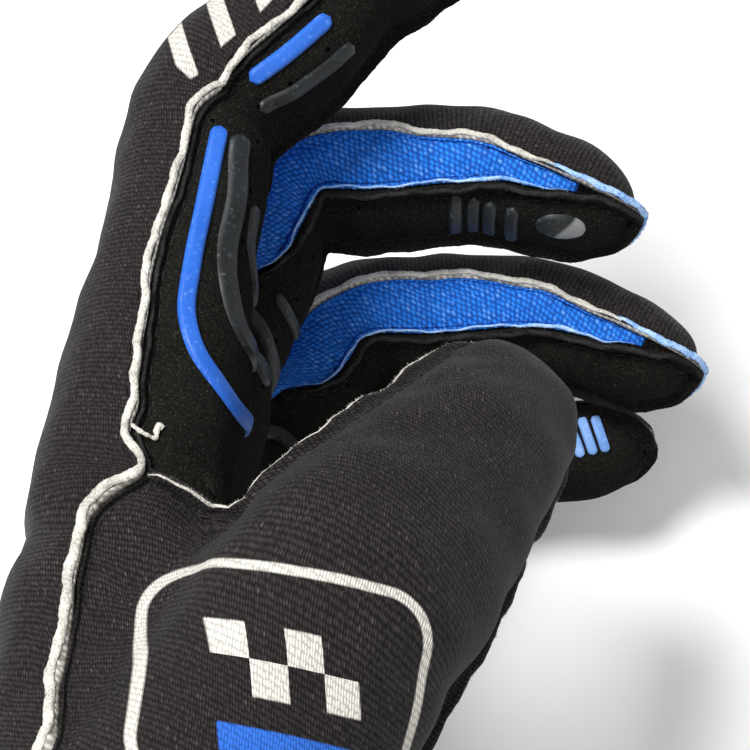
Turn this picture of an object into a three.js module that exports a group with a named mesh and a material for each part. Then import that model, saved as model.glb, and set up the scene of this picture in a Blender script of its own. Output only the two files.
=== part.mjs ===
// Left-hand sim racing glove in its worn, gripping form. Millimetres.
// +Y runs from the wrist opening to the knuckles, +X is the palm side, +Z the thumb side.
import * as THREE from 'three';
import { mergeVertices } from 'three/addons/utils/BufferGeometryUtils.js';

// Driving dimensions
const KNIT = 1.2;          // wall of the printed knit
const SUEDE = 1.2;         // wall of the palm suede
const MESH_CLOTH = 1.1;    // wall of the side strips
const GAP = 0.3;           // between neighbouring pieces
const SEAM_HEIGHT = 1.8;   // raw edge standing outside a seam
const SEAM_WALL = 1.0;     // thickness of one raw edge
const SEAM_RISE = 14;      // length over which a raw edge grows out of a web
const CUFF_RISE = 8;       // and out of the wrist band
const WEB_OPENS = 3;       // length over which a side strip parts the panels beyond a web
const SHIFT_FADE = 12;     // length beyond a web over which a finger's own section returns
const CUFF_HEIGHT = 14;    // wrist band along Y
const CUFF_WALL = 2.0;
const ROUNDNESS = 2.2;     // exponent of every cross-section
const BLEND = 11;          // softness where two rays join
const STEP = 1;            // spacing of the stations along a ray
const RUN_IN = 20;         // length of a ray behind the wrist

// Each ray runs from the wrist over its knuckle to the fingertip. Its palm direction
// is square to the ray and lies nearest to `palm`.
const RAYS = [
  { name: 'thumb', root: [4, 0, 13], knuckle: [34, 72, 37], palm: [-0.45, 0, -0.89] },
  { name: 'index', root: [3, 0, 11], knuckle: [5, 101, 30], palm: [1, 0, 0] },
  { name: 'middle', root: [0, 0, 3], knuckle: [3, 105, 9], palm: [1, 0, 0] },
  { name: 'ring', root: [0, 0, -5], knuckle: [7, 100.5, -12], palm: [1, 0, 0] },
  { name: 'little', root: [2, 0, -12], knuckle: [14, 94, -34], palm: [1, 0, 0] },
];

// Bends in degrees: flex turns to the palm, splay to the thumb side. `at` is measured from
// the knuckle, `reach` is half the bend's length.
const BENDS = {
  thumb: [
    { at: 0, reach: 16, flex: 36, splay: 14 },
    { at: 32, reach: 10, flex: 6, splay: 0 },
  ],
  index: [
    { at: 0, reach: 16, flex: -2, splay: 0 },
    { at: 42, reach: 9, flex: 34, splay: 0 },
    { at: 69, reach: 9, flex: 12, splay: 0 },
  ],
  middle: [
    { at: 0, reach: 16, flex: 9, splay: 2 },
    { at: 47, reach: 11, flex: 66, splay: 0 },
    { at: 74, reach: 9, flex: 27, splay: 0 },
  ],
  ring: [
    { at: 0, reach: 16, flex: 12, splay: 5 },
    { at: 46, reach: 11, flex: 60, splay: 0 },
    { at: 74, reach: 9, flex: 29, splay: 0 },
  ],
  little: [
    { at: 0, reach: 16, flex: 10, splay: 15 },
    { at: 37, reach: 11, flex: 44, splay: 0 },
    { at: 58, reach: 8, flex: 20, splay: 0 },
  ],
};

// Cross-sections by distance from the knuckle: half width, half thickness to the back
// and to the palm. The first row lies at the wrist.
const GIRTHS = {
  thumb: [
    { at: -82, wide: 15, back: 17, palm: 17 },
    { at: -30, wide: 17, back: 14, palm: 16 },
    { at: 0, wide: 15.8, back: 13, palm: 13.5 },
    { at: 10, wide: 15.2, back: 12, palm: 12 },
    { at: 20, wide: 13.8, back: 11.2, palm: 11 },
    { at: 32, wide: 11.9, back: 11, palm: 10.5 },
    { at: 48, wide: 10.2, back: 9.5, palm: 10 },
    { at: 57, wide: 9.2, back: 8, palm: 9 },
  ],
  index: [
    { at: -107, wide: 17, back: 18, palm: 18 },
    { at: -50, wide: 13, back: 10.5, palm: 14 },
    { at: 0, wide: 11.5, back: 11.4, palm: 12.5 },
    { at: 22, wide: 9.8, back: 10.2, palm: 9.5 },
    { at: 42, wide: 9.8, back: 10.4, palm: 9.2 },
    { at: 54, wide: 9.4, back: 10, palm: 10 },
    { at: 69, wide: 9.0, back: 9.2, palm: 9.0 },
    { at: 95, wide: 8.2, back: 6.8, palm: 7.6 },
  ],
  middle: [
    { at: -107, wide: 17, back: 19, palm: 19 },
    { at: -50, wide: 13, back: 13, palm: 14 },
    { at: 0, wide: 11.5, back: 12.5, palm: 13 },
    { at: 22, wide: 9.8, back: 10.2, palm: 10.4 },
    { at: 47, wide: 9.6, back: 9.0, palm: 9.0 },
    { at: 60, wide: 9.2, back: 8.4, palm: 9.2 },
    { at: 74, wide: 8.8, back: 7.9, palm: 8.4 },
    { at: 96, wide: 8.0, back: 4.7, palm: 7.0 },
  ],
  ring: [
    { at: -105, wide: 17, back: 19, palm: 19 },
    { at: -50, wide: 13, back: 13, palm: 15 },
    { at: 0, wide: 11.5, back: 12, palm: 13 },
    { at: 22, wide: 9.3, back: 10.0, palm: 10.0 },
    { at: 46, wide: 9.3, back: 9.6, palm: 8.8 },
    { at: 60, wide: 9.0, back: 9.0, palm: 9.0 },
    { at: 74, wide: 8.6, back: 8.1, palm: 8.2 },
    { at: 100, wide: 7.8, back: 4.7, palm: 6.8 },
  ],
  little: [
    { at: -98, wide: 16, back: 18, palm: 20 },
    { at: -50, wide: 13, back: 12, palm: 15 },
    { at: 0, wide: 11, back: 11, palm: 12.5 },
    { at: 20, wide: 8.4, back: 9.0, palm: 9.2 },
    { at: 37, wide: 8.5, back: 8.6, palm: 7.8 },
    { at: 48, wide: 8.2, back: 8.0, palm: 8.0 },
    { at: 58, wide: 7.8, back: 7.4, palm: 7.4 },
    { at: 84, wide: 7.2, back: 5.4, palm: 6.6 },
  ],
};

// Stations from the knuckle: fork of the thumb, web of the fingers, fingertip.
// `end` is the length of the rounded end.
const STATIONS = {
  thumb: { fork: 8, web: 8, tip: 55, end: 12 },
  index: { fork: -14, web: 23, tip: 95, end: 12 },
  middle: { fork: -18, web: 22, tip: 95.5, end: 13 },
  ring: { fork: -15, web: 24, tip: 99.5, end: 14 },
  little: { fork: -8, web: 24, tip: 82, end: 11 },
};

const ROWS = { wrist: 9, palm: 4, finger: 12, thumb: 7, end: 3, cuff: 2 };
const COLUMNS = { back: 6, palm: 5, sliver: 2, thumbBack: 7, thumbPalm: 6, strip: 2, cuff: 40 };
const WEB_GAP = 1.2;       // a side strip stands off the panels at a web
const WEB_SPREAD = 3;      // and its gap beside the web is wider by this factor
const CUFF_PROUD = 0.5;    // the band stands out from the panels
const CUFF_REACH = 30;     // half width that surely lies outside the wrist
const BEND_END = 8;        // rounded end of a neighbour ray beyond a web
const SPLIT = new THREE.Vector3(0.35, 1, 0.55);   // sorts the corners of a rim face

// Angles of the lines that two neighbouring rays share, on the back and on the palm.
// `low` counts on the ray nearer the thumb, `high` on the next one.
const SHARED = {
  thumb: {
    back: [{ at: 0, low: 40, high: 95 }, { at: 0.6, low: 62, high: 105 },
      { at: 1, low: 92, high: 122 }],
    palm: [{ at: 0, low: 245, high: 195 }, { at: 0.5, low: 205, high: 162 },
      { at: 0.8, low: 145, high: 134 }, { at: 1, low: 92, high: 122 }],
  },
  finger: {
    back: [{ at: 0, low: 40, high: 40 }, { at: 1, low: 55, high: 55 }, { at: 2, low: 62, high: 62 }],
    palm: [{ at: 0, low: 140, high: 140 }, { at: 1, low: 125, high: 125 },
      { at: 2, low: 120, high: 120 }],
  },
};
// Angles of the seams on a finger, by share of its length from web to tip: the strip's
// edges towards the back and the palm meet before the tip. On the little finger the strip
// beside the ring finger is shorter, and lies nearer the back.
const FINGER_SEAMS = [
  { at: 0, back: 62, palm: 120 },
  { at: 0.15, back: 80, palm: 130 },
  { at: 0.33, back: 87, palm: 135 },
  { at: 0.5, back: 88, palm: 138 },
  { at: 0.66, back: 99, palm: 138 },
  { at: 0.82, back: 107, palm: 131 },
  { at: 0.9, back: 110, palm: 122 },
  { at: 0.96, back: 112, palm: 112 },
];
const LITTLE_SEAMS = [
  { at: 0, back: 62, palm: 120 },
  { at: 0.15, back: 76, palm: 124 },
  { at: 0.4, back: 74, palm: 112 },
  { at: 0.6, back: 68, palm: 78 },
  { at: 0.67, back: 68, palm: 68 },
];
// Angle of the seam beside the index and the thumb panel, by row.
const INDEX_SEAM = [{ at: 0, angle: 88 }, { at: 0.5, angle: 95 }, { at: 0.7, angle: 80 },
  { at: 0.92, angle: 77 }, { at: 1, angle: 93 }, { at: 1.12, angle: 88 }, { at: 1.25, angle: 94 },
  { at: 1.5, angle: 91 }, { at: 1.75, angle: 88 }, { at: 2.2, angle: 92 },
  { at: 2.3, angle: 106 }, { at: 2.6, angle: 106 }, { at: 3, angle: 102 }, { at: 4, angle: 88 }];
const OUTER_SEAM = 92;     // seam on the outer side of the little finger
const THUMB_SEAM = { near: -92, far: 98 };   // the thumb's, beside the index and away from it
const STRIP_END = 3 + 1 / 3;   // row where a side strip ends
const LITTLE_STRIP_END = 2.75; // and on the little finger

// Creases of the cloth, across a ray at a row: `reach` degrees to both sides of `angle`.
// `rise` moves a crease's two ends along the rows, against each other.
const FOLDS = [
  { name: 'index', row: 0.9, rise: 0.03, angle: 15, reach: 60, wide: 5, deep: 1.4 },
  { name: 'index', row: 0.7, rise: -0.03, angle: 5, reach: 55, wide: 5, deep: 1.2 },
  { name: 'index', row: 2.31, rise: 0, angle: 150, reach: 60, wide: 4, deep: 1.3 },
  { name: 'index', row: 2.77, rise: 0, angle: 175, reach: 60, wide: 4, deep: 0.8 },
  { name: 'middle', row: 2.4, rise: 0, angle: 180, reach: 75, wide: 4, deep: 1.3 },
  { name: 'middle', row: 1.9, rise: 0, angle: 180, reach: 50, wide: 4, deep: 0.9 },
  { name: 'ring', row: 2.34, rise: 0, angle: 180, reach: 75, wide: 4, deep: 1.3 },
  { name: 'ring', row: 1.9, rise: 0, angle: 180, reach: 50, wide: 4, deep: 0.9 },
  { name: 'little', row: 2.27, rise: 0, angle: 180, reach: 75, wide: 4, deep: 1.1 },
  { name: 'thumb', row: 2.69, rise: 0, angle: 180, reach: 80, wide: 4, deep: 1.0 },
  { name: 'thumb', row: 0.86, rise: 0.04, angle: 20, reach: 60, wide: 5, deep: 0.9 },
];

// Raised silicone grips on the suede, as places by ray, angle and row. `oval` grips taper
// over their whole length, the others have round ends.
const GRIP_HEIGHT = 0.6;
const GRIP_CLEAR = 0.4;    // under a grip, to the suede's flat faces
const GRIP_STEP = 1.8;     // spacing of its rings
const GRIP_BLUNT = 0.3;    // share of the width that its ends keep
const GRIP_DROP = 4;       // height from which it is dropped on the suede
const GRIPS = {
  palm_stripe_1: { wide: 2.3, path: [
    ['index', 110, 2.19], ['index', 110, 2.0], ['index', 109, 1.8], ['index', 110, 1.6],
    ['index', 121, 1.46], ['index', 146, 1.37], ['index', 170, 1.35], ['index', 200, 1.4],
    ['middle', 148, 1.58]] },
  palm_stripe_2: { wide: 3.2, path: [
    ['index', 128, 2.19], ['index', 135, 2.05], ['index', 136, 1.88], ['index', 140, 1.74],
    ['index', 160, 1.6], ['index', 196, 1.62], ['middle', 136, 1.84], ['middle', 168, 1.84]] },
  palm_stripe_3: { wide: 2.2, path: [
    ['index', 157, 2.06], ['index', 166, 1.94], ['index', 190, 1.84], ['middle', 134, 1.96],
    ['middle', 160, 1.93], ['middle', 195, 1.9], ['ring', 140, 1.92], ['ring', 168, 1.95]] },
  palm_stripe_4: { wide: 1.6, path: [
    ['middle', 140, 2.06], ['middle', 160, 2.05], ['middle', 184, 2.05]] },
  index_stripe_blue: { wide: 2.3, path: [
    ['index', 122, 2.35], ['index', 124, 2.47], ['index', 126, 2.6]] },
  index_stripe_grey: { wide: 2.1, path: [
    ['index', 148, 2.31], ['index', 154, 2.45], ['index', 160, 2.61]] },
  middle_pad: { wide: 4.6, oval: true, path: [
    ['middle', 166, 3.1], ['middle', 165, 3.28], ['middle', 165, 3.46]] },
};
// Short bars across the middle finger, each from its own angle to a common one.
const BARS = { name: 'middle', wide: 1.9, row: 2.79, step: 0.062, from: [150, 154, 157, 157], to: 204 };
BARS.from.forEach((from, k) => {
  const row = BARS.row + k * BARS.step;
  GRIPS[`middle_bar_${k + 1}`] = { wide: BARS.wide, path: [from, (from + BARS.to) / 2, BARS.to]
    .map((angle) => [BARS.name, angle, row]) };
});

const rad = THREE.MathUtils.degToRad;
const vec = (x, y, z) => new THREE.Vector3(x, y, z);
const clamp = (x, low, high) => Math.min(Math.max(x, low), high);
const smooth = (x) => x * x * (3 - 2 * x);
const ramp = (x, from, to) => smooth(clamp((x - from) / (to - from), 0, 1));

function spread(from, to, count) {
  return Array.from({ length: count + 1 }, (item, k) => THREE.MathUtils.lerp(from, to, k / count));
}

// Value of a column of a table at `x`, eased between its rows.
function lookup(table, column, x) {
  const last = table.length - 1;
  if (x <= table[0].at) return table[0][column];
  if (x >= table[last].at) return table[last][column];
  const k = table.findIndex((row) => row.at > x);
  const share = (x - table[k - 1].at) / (table[k].at - table[k - 1].at);
  return THREE.MathUtils.lerp(table[k - 1][column], table[k][column], smooth(share));
}

// A ray's centre line as stations with a frame: along, side (to the thumb) and palm.
function makeRay(index) {
  const { name, root, knuckle, palm } = RAYS[index];
  const start = vec(...root);
  const length = start.distanceTo(vec(...knuckle));
  const along = vec(...knuckle).sub(start).normalize();
  const side = vec(...palm).cross(along).normalize();
  const front = along.clone().cross(side);
  const ray = { name, index, first: -length - RUN_IN, stations: [], ...STATIONS[name] };
  ray.root = -length;
  const centre = start.clone().addScaledVector(along, -RUN_IN);
  const count = Math.ceil((ray.tip - ray.first) / STEP);
  for (let k = 0; k <= count; k += 1) {
    const at = ray.first + k * STEP;
    const shape = {};
    for (const column of ['wide', 'back', 'palm']) {
      shape[column] = lookup(GIRTHS[name], column, at);
    }
    ray.stations.push({ at, centre: centre.clone(), along: along.clone(), side: side.clone(),
      front: front.clone(), ...shape });
    centre.addScaledVector(along, STEP);
    for (const bend of BENDS[name]) {
      const off = (at + STEP / 2 - bend.at) / bend.reach;
      if (Math.abs(off) < 1) {
        const share = rad(1) * STEP * (1 + Math.cos(Math.PI * off)) / (2 * bend.reach);
        along.applyAxisAngle(side, -bend.flex * share);
        front.applyAxisAngle(side, -bend.flex * share);
        along.applyAxisAngle(front, bend.splay * share);
        side.applyAxisAngle(front, bend.splay * share);
      }
    }
  }
  return ray;
}
const rays = RAYS.map((row, index) => makeRay(index));

function stationAt(ray, at) {
  const place = clamp((at - ray.first) / STEP, 0, ray.stations.length - 1.001);
  const low = ray.stations[Math.floor(place)];
  const high = ray.stations[Math.floor(place) + 1];
  const share = place - Math.floor(place);
  const mixed = { at };
  for (const key of ['centre', 'along', 'side', 'front']) {
    mixed[key] = low[key].clone().lerp(high[key], share);
  }
  for (const key of ['wide', 'back', 'palm']) {
    mixed[key] = THREE.MathUtils.lerp(low[key], high[key], share);
  }
  return mixed;
}

// Distance from the skin of a ray that ends in a rounded end of length `end` at `stop`.
function rayDistance(ray, point, stop, end) {
  const last = Math.min(Math.round((stop - end - ray.first) / STEP), ray.stations.length - 1);
  let best = 0;
  let nearest = Infinity;
  for (let k = 0; k <= last; k += 8) {
    const gap = ray.stations[k].centre.distanceToSquared(point);
    if (gap < nearest) {
      nearest = gap;
      best = k;
    }
  }
  const rough = best;
  for (let k = Math.max(rough - 8, 0); k <= Math.min(rough + 8, last); k += 1) {
    const gap = ray.stations[k].centre.distanceToSquared(point);
    if (gap < nearest) {
      nearest = gap;
      best = k;
    }
  }
  const found = ray.stations[best];
  const forward = point.clone().sub(found.centre).dot(found.along);
  const place = stationAt(ray, Math.min(found.at + forward, ray.stations[last].at));
  const off = point.clone().sub(place.centre);
  const x = off.dot(place.side);
  const y = off.dot(place.front);
  const z = Math.max(0, off.dot(place.along));
  const deep = y < 0 ? place.back : place.palm;
  const power = Math.abs(x / place.wide) ** ROUNDNESS + Math.abs(y / deep) ** ROUNDNESS
    + (z / end) ** ROUNDNESS;
  const scale = Math.max(power ** (1 / ROUNDNESS), 1e-6);
  return Math.hypot(x, y, z) * (1 - 1 / scale);
}

// Where a ray other than `own` stops, so that separated fingers don't swell each other.
function stopOf(ray, own) {
  if (ray.index === own) return { stop: ray.tip, end: ray.end };
  const fork = own === 0 || ray.index === 0;
  return { stop: (fork ? ray.fork : ray.web) + BEND_END, end: BEND_END };
}

const folds = [];
const nearestOnFold = vec(0, 0, 0);

// How far a point lies outside the glove's skin, as seen from the ray that it belongs to.
function field(point, own) {
  let value = null;
  for (const ray of rays) {
    const { stop, end } = stopOf(ray, own);
    const distance = rayDistance(ray, point, stop, end);
    if (value === null) {
      value = distance;
    } else {
      const near = Math.max(BLEND - Math.abs(value - distance), 0) / BLEND;
      value = Math.min(value, distance) - near * near * BLEND / 4;
    }
  }
  for (const { lines, wide, deep } of folds) {
    let gap = Infinity;
    for (const line of lines) {
      line.closestPointToPoint(point, true, nearestOnFold);
      gap = Math.min(gap, nearestOnFold.distanceTo(point));
    }
    value += deep * Math.exp(-((gap / wide) ** 2) * 2);
  }
  return value;
}

function slope(point, own) {
  const delta = 0.2;
  const out = vec(0, 0, 0);
  for (const axis of ['x', 'y', 'z']) {
    const ahead = point.clone();
    const behind = point.clone();
    ahead[axis] += delta;
    behind[axis] -= delta;
    out[axis] = (field(ahead, own) - field(behind, own)) / (2 * delta);
  }
  return out;
}

// Moves a point onto the skin, within its wrist plane if `flat`.
function settle(guess, own, flat = false) {
  const point = guess.clone();
  for (let k = 0; k < 8; k += 1) {
    const normal = slope(point, own);
    if (flat) normal.y = 0;
    const step = clamp(field(point, own) / Math.max(normal.lengthSq(), 0.25), -3, 3);
    point.addScaledVector(normal, -step);
    if (Math.abs(step) < 0.005) break;
  }
  const normal = slope(point, own);
  if (flat) normal.y = 0;
  return { point, normal: normal.normalize() };
}

// Rows run 0 at the wrist, 1 at the fork, 2 at the web, 3 where the end begins, 4 at the tip.
function stationOf(ray, row) {
  const wrist = ray.root + (CUFF_HEIGHT + GAP) / ray.stations[0].along.y;
  if (row <= 1) return THREE.MathUtils.lerp(wrist, ray.fork, row);
  if (row <= 2) return THREE.MathUtils.lerp(ray.fork, ray.web, row - 1);
  const begin = ray.tip - ray.end;
  if (row <= 3) return THREE.MathUtils.lerp(ray.web, begin, row - 2);
  return begin + ray.end * Math.sin((row - 3) * Math.PI / 2);
}

// Point of a ray's own section at an angle from the back, positive to the thumb side.
function sectionPoint(ray, angle, row) {
  const at = stationOf(ray, row);
  const place = stationAt(ray, Math.min(at, ray.tip - ray.end));
  const shrink = row > 3 ? Math.cos((row - 3) * Math.PI / 2) : 1;
  const sine = Math.sin(rad(angle));
  const cosine = Math.cos(rad(angle));
  const x = place.wide * Math.sign(sine) * Math.abs(sine) ** (2 / ROUNDNESS) * shrink;
  const deep = cosine > 0 ? place.back : place.palm;
  const y = -deep * Math.sign(cosine) * Math.abs(cosine) ** (2 / ROUNDNESS) * shrink;
  const point = place.centre.clone();
  point.addScaledVector(place.side, x).addScaledVector(place.front, y);
  if (row > 3) point.addScaledVector(place.along, at - (ray.tip - ray.end));
  return point;
}

// Last row on which a ray and the next one share a line.
const splitRow = (pair) => (pair === 0 ? 1 : 2);

function sharedAngle(pair, face, column, row) {
  return lookup(SHARED[pair === 0 ? 'thumb' : 'finger'][face], column, Math.min(row, splitRow(pair)));
}

// Shift that brings a ray's edge to the line that it shares with a neighbour.
function edgeShift(ray, side, face, row) {
  const pair = side > 0 ? ray.index - 1 : ray.index;
  if (pair < 0 || pair > 3) return { shift: vec(0, 0, 0), angle: 90 };
  const limit = Math.min(row, splitRow(pair));
  const low = sectionPoint(rays[pair], -sharedAngle(pair, face, 'low', limit), limit);
  const high = sectionPoint(rays[pair + 1], sharedAngle(pair, face, 'high', limit), limit);
  const own = side > 0 ? high : low;
  const shift = low.clone().lerp(high, 0.5).sub(own);
  const beyond = stationOf(ray, row) - stationOf(ray, limit);
  shift.multiplyScalar(1 - ramp(beyond, 0, SHIFT_FADE));
  return { shift, angle: sharedAngle(pair, face, side > 0 ? 'high' : 'low', limit) };
}

// First place of a skin point: a ray's own section, drawn to the lines shared with others.
function guessPoint(ray, angle, row) {
  const turn = THREE.MathUtils.euclideanModulo(angle, 360);
  const [backUp, palmUp, backDown, palmDown] = [[1, 'back'], [1, 'palm'], [-1, 'back'], [-1, 'palm']]
    .map(([side, face]) => edgeShift(ray, side, face, row));
  const middle = (palmUp.angle + 360 - palmDown.angle) / 2;
  const anchors = [
    { at: 0, shift: vec(0, 0, 0) },
    { at: backUp.angle, shift: backUp.shift },
    { at: palmUp.angle, shift: palmUp.shift },
    { at: middle, shift: vec(0, 0, 0) },
    { at: 360 - palmDown.angle, shift: palmDown.shift },
    { at: 360 - backDown.angle, shift: backDown.shift },
    { at: 360, shift: vec(0, 0, 0) },
  ];
  const k = clamp(anchors.findIndex((anchor) => anchor.at >= turn), 1, anchors.length - 1);
  const [from, to] = [anchors[k - 1], anchors[k]];
  const share = clamp((turn - from.at) / Math.max(to.at - from.at, 1e-6), 0, 1);
  const point = sectionPoint(ray, angle, row);
  if (k === 2 || k === 5) return point.add(from.shift.clone().lerp(to.shift, share));
  return point.addScaledVector(from.shift, (1 - share) ** 2).addScaledVector(to.shift, share ** 2);
}

// The creases' lines are laid on the smooth skin before any of them takes effect.
const creases = FOLDS.map(({ name, row, rise, angle, reach, wide, deep }) => {
  const ray = rays.find((item) => item.name === name);
  const points = spread(-1, 1, 6).map((share) => (
    settle(guessPoint(ray, angle + share * reach, row + share * rise), ray.index).point));
  return { wide, deep, lines: points.slice(1).map((point, k) => new THREE.Line3(points[k], point)) };
});
folds.push(...creases);

// Point and normal of the glove's outside, at an angle from the back of a ray.
const skinPoints = new Map();
function skin(ray, angle, row) {
  const key = `${ray.index} ${(row === 4 ? 0 : angle).toFixed(3)} ${row.toFixed(4)}`;
  if (!skinPoints.has(key)) {
    const guess = guessPoint(ray, row === 4 ? 0 : angle, row);
    if (row === 0) {
      const { along } = ray.stations[0];
      guess.addScaledVector(along, (CUFF_HEIGHT + GAP - guess.y) / along.y);
    }
    skinPoints.set(key, settle(guess, ray.index, row === 0));
  }
  return skinPoints.get(key);
}

// The same on the line that a ray shares with the next one.
function sharedSkin(pair, face, row) {
  return skin(rays[pair], -sharedAngle(pair, face, 'low', row), row);
}

// Rows of a ray between two limits.
function rowsOf(ray, from, to) {
  const rows = [];
  const add = (start, count) => {
    for (let k = 0; k <= count; k += 1) rows.push(start + k / count);
  };
  add(0, ROWS.wrist);
  if (ray.index > 0) add(1, ROWS.palm);
  add(2, ray.index > 0 ? ROWS.finger : ROWS.thumb);
  add(3, ROWS.end);
  const kept = rows.filter((row, k) => row !== rows[k - 1] && row >= from && row <= to);
  return kept.filter((row) => ray.index > 0 || row !== 2);
}

function seamAngle(ray, side, face, row) {
  if (ray.name === 'index' && side > 0) return lookup(INDEX_SEAM, 'angle', row);
  if (ray.name === 'thumb') return side > 0 ? THUMB_SEAM.far : THUMB_SEAM.near;
  if (ray.name === 'little' && side < 0) return -OUTER_SEAM;
  const share = (stationOf(ray, row) - ray.web) / (ray.tip - ray.web);
  return side * lookup(ray.name === 'little' ? LITTLE_SEAMS : FINGER_SEAMS, face, share);
}

// One place on a seam: how far the pieces stand apart there and how high the edge stands.
function seamPlace(ray, side, face, row) {
  const pair = side > 0 ? ray.index - 1 : ray.index;
  const strip = pair > 0 && pair < 4;
  const web = strip && row === 2;
  const found = web ? sharedSkin(pair, face, 2) : skin(ray, seamAngle(ray, side, face, row), row);
  const { point, normal } = found;
  const beyond = stationOf(ray, row) - ray.web;
  const aboveCuff = stationOf(ray, row) - stationOf(ray, 0);
  const open = strip ? ramp(beyond, 0, WEB_OPENS) : 1;
  const rise = strip ? ramp(beyond, 1, SEAM_RISE) : ramp(aboveCuff, 0, CUFF_RISE);
  const key = `${ray.index} ${side} ${row.toFixed(4)}`;
  return { key, point, normal, open, rise, flat: row === 0 };
}

// Places along a side of a ray, in the order of travel.
function sideSeam(name, side, face, from, to) {
  const ray = rays.find((item) => item.name === name);
  const rows = rowsOf(ray, Math.min(from, to), Math.max(from, to));
  if (from > to) rows.reverse();
  return rows.map((row) => seamPlace(ray, side, face, row));
}

// Places across the fork, from the index seam to the fork's deepest point.
function forkSeam() {
  const ray = rays[1];
  const start = seamAngle(ray, 1, 'back', 1);
  const end = sharedAngle(0, 'back', 'high', 1);
  const places = [];
  for (let k = 0; k <= COLUMNS.sliver; k += 1) {
    const angle = THREE.MathUtils.lerp(start, end, k / COLUMNS.sliver);
    const found = k === COLUMNS.sliver ? sharedSkin(0, 'back', 1) : skin(ray, angle, 1);
    places.push({ key: `fork ${k}`, point: found.point, normal: found.normal, open: 1, rise: 1 });
  }
  return places;
}

// A seam's raw edge on one piece: foot on the skin, two top corners and the inner corner.
// `hand` is 1 where the piece lies on the left of the way along the seam.
function makeEdges(places, hand, wall) {
  const own = (key) => (key.startsWith('fork') ? 1 : Number(key.split(' ')[0]));
  const edges = new Map();
  const list = [];
  const heading = (k) => {
    const way = places[k + 1].point.clone().sub(places[k].point);
    return way.lengthSq() > 1e-9 ? way.normalize() : null;
  };
  for (let k = 0; k < places.length; k += 1) {
    const { key, point, normal, open, rise, flat = false, also = [] } = places[k];
    const before = k > 0 ? heading(k - 1) : null;
    const after = k < places.length - 1 ? heading(k) : null;
    const turns = [before, after].filter((way) => way !== null);
    const sides = turns.map((way) => normal.clone().cross(way).normalize().multiplyScalar(hand));
    const inward = sides[0].clone();
    if (sides.length === 2) {
      inward.add(sides[1]).multiplyScalar(1 / Math.max(1 + sides[0].dot(sides[1]), 0.5));
    }
    const half = GAP / 2 * open;
    const rim = point.clone().addScaledVector(inward, half);
    const sunk = rise === 0;
    const footGuess = point.clone().addScaledVector(inward, half + SEAM_WALL * rise);
    const foot = open === 0 ? point : settle(footGuess, own(key), flat).point;
    const outer = sunk ? foot : rim.clone().addScaledVector(normal, SEAM_HEIGHT * rise);
    const top = sunk ? foot : outer.clone().addScaledVector(inward, SEAM_WALL * rise);
    const inner = rim.clone().addScaledVector(normal, -wall);
    const edge = { point, foot, top, outer, inner, open };
    for (const name of [key, ...also]) edges.set(name, edge);
    list.push(edge);
  }
  return { edges, list };
}

// Collects triangles of the outside and the inside of one sheet, then closes its rim.
class Sheet {
  constructor() {
    this.points = [];
    this.index = new Map();
    this.faces = [];
    this.partner = new Map();
  }

  add(point) {
    const key = [point.x, point.y, point.z].map((value) => Math.round(value * 1e4)).join(' ');
    if (!this.index.has(key)) {
      this.index.set(key, this.points.length);
      this.points.push(point.clone());
    }
    return this.index.get(key);
  }

  face(a, b, c, flip) {
    if (a === b || b === c || c === a) return;
    this.faces.push(flip ? [a, c, b] : [a, b, c]);
  }

  // Rows run forward and columns from right to left, seen from outside.
  grid(rows, flip = false) {
    const ids = rows.map((row) => row.map((point) => this.add(point)));
    for (let r = 0; r < ids.length - 1; r += 1) {
      for (let c = 0; c < ids[r].length - 1; c += 1) {
        const corners = [ids[r][c], ids[r + 1][c], ids[r + 1][c + 1], ids[r][c + 1]];
        this.face(corners[0], corners[1], corners[2], flip);
        this.face(corners[0], corners[2], corners[3], flip);
      }
    }
    return ids;
  }

  pair(outer, inner) {
    this.partner.set(this.add(outer), this.add(inner));
  }

  closeRim() {
    const open = new Map();
    for (const face of this.faces) {
      for (let k = 0; k < 3; k += 1) {
        const from = face[k];
        const to = face[(k + 1) % 3];
        if (open.has(`${to} ${from}`)) open.delete(`${to} ${from}`);
        else open.set(`${from} ${to}`, [from, to]);
      }
    }
    for (const [from, to] of open.values()) {
      if (!this.partner.has(from) || !this.partner.has(to)) continue;
      const a = this.partner.get(from);
      const b = this.partner.get(to);
      // Both sides of a seam are split along the same diagonal, so that they can't cross.
      const height = (id) => this.points[id].dot(SPLIT);
      if (height(to) > height(from)) {
        this.face(to, from, a, false);
        this.face(to, a, b, false);
      } else {
        this.face(to, from, b, false);
        this.face(from, a, b, false);
      }
    }
  }

  geometry() {
    const flat = this.points.flatMap((point) => [point.x, point.y, point.z]);
    const geometry = new THREE.BufferGeometry();
    geometry.setAttribute('position', new THREE.Float32BufferAttribute(flat, 3));
    geometry.setIndex(this.faces.flat());
    return mergeVertices(geometry, 1e-4);
  }
}

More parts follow.
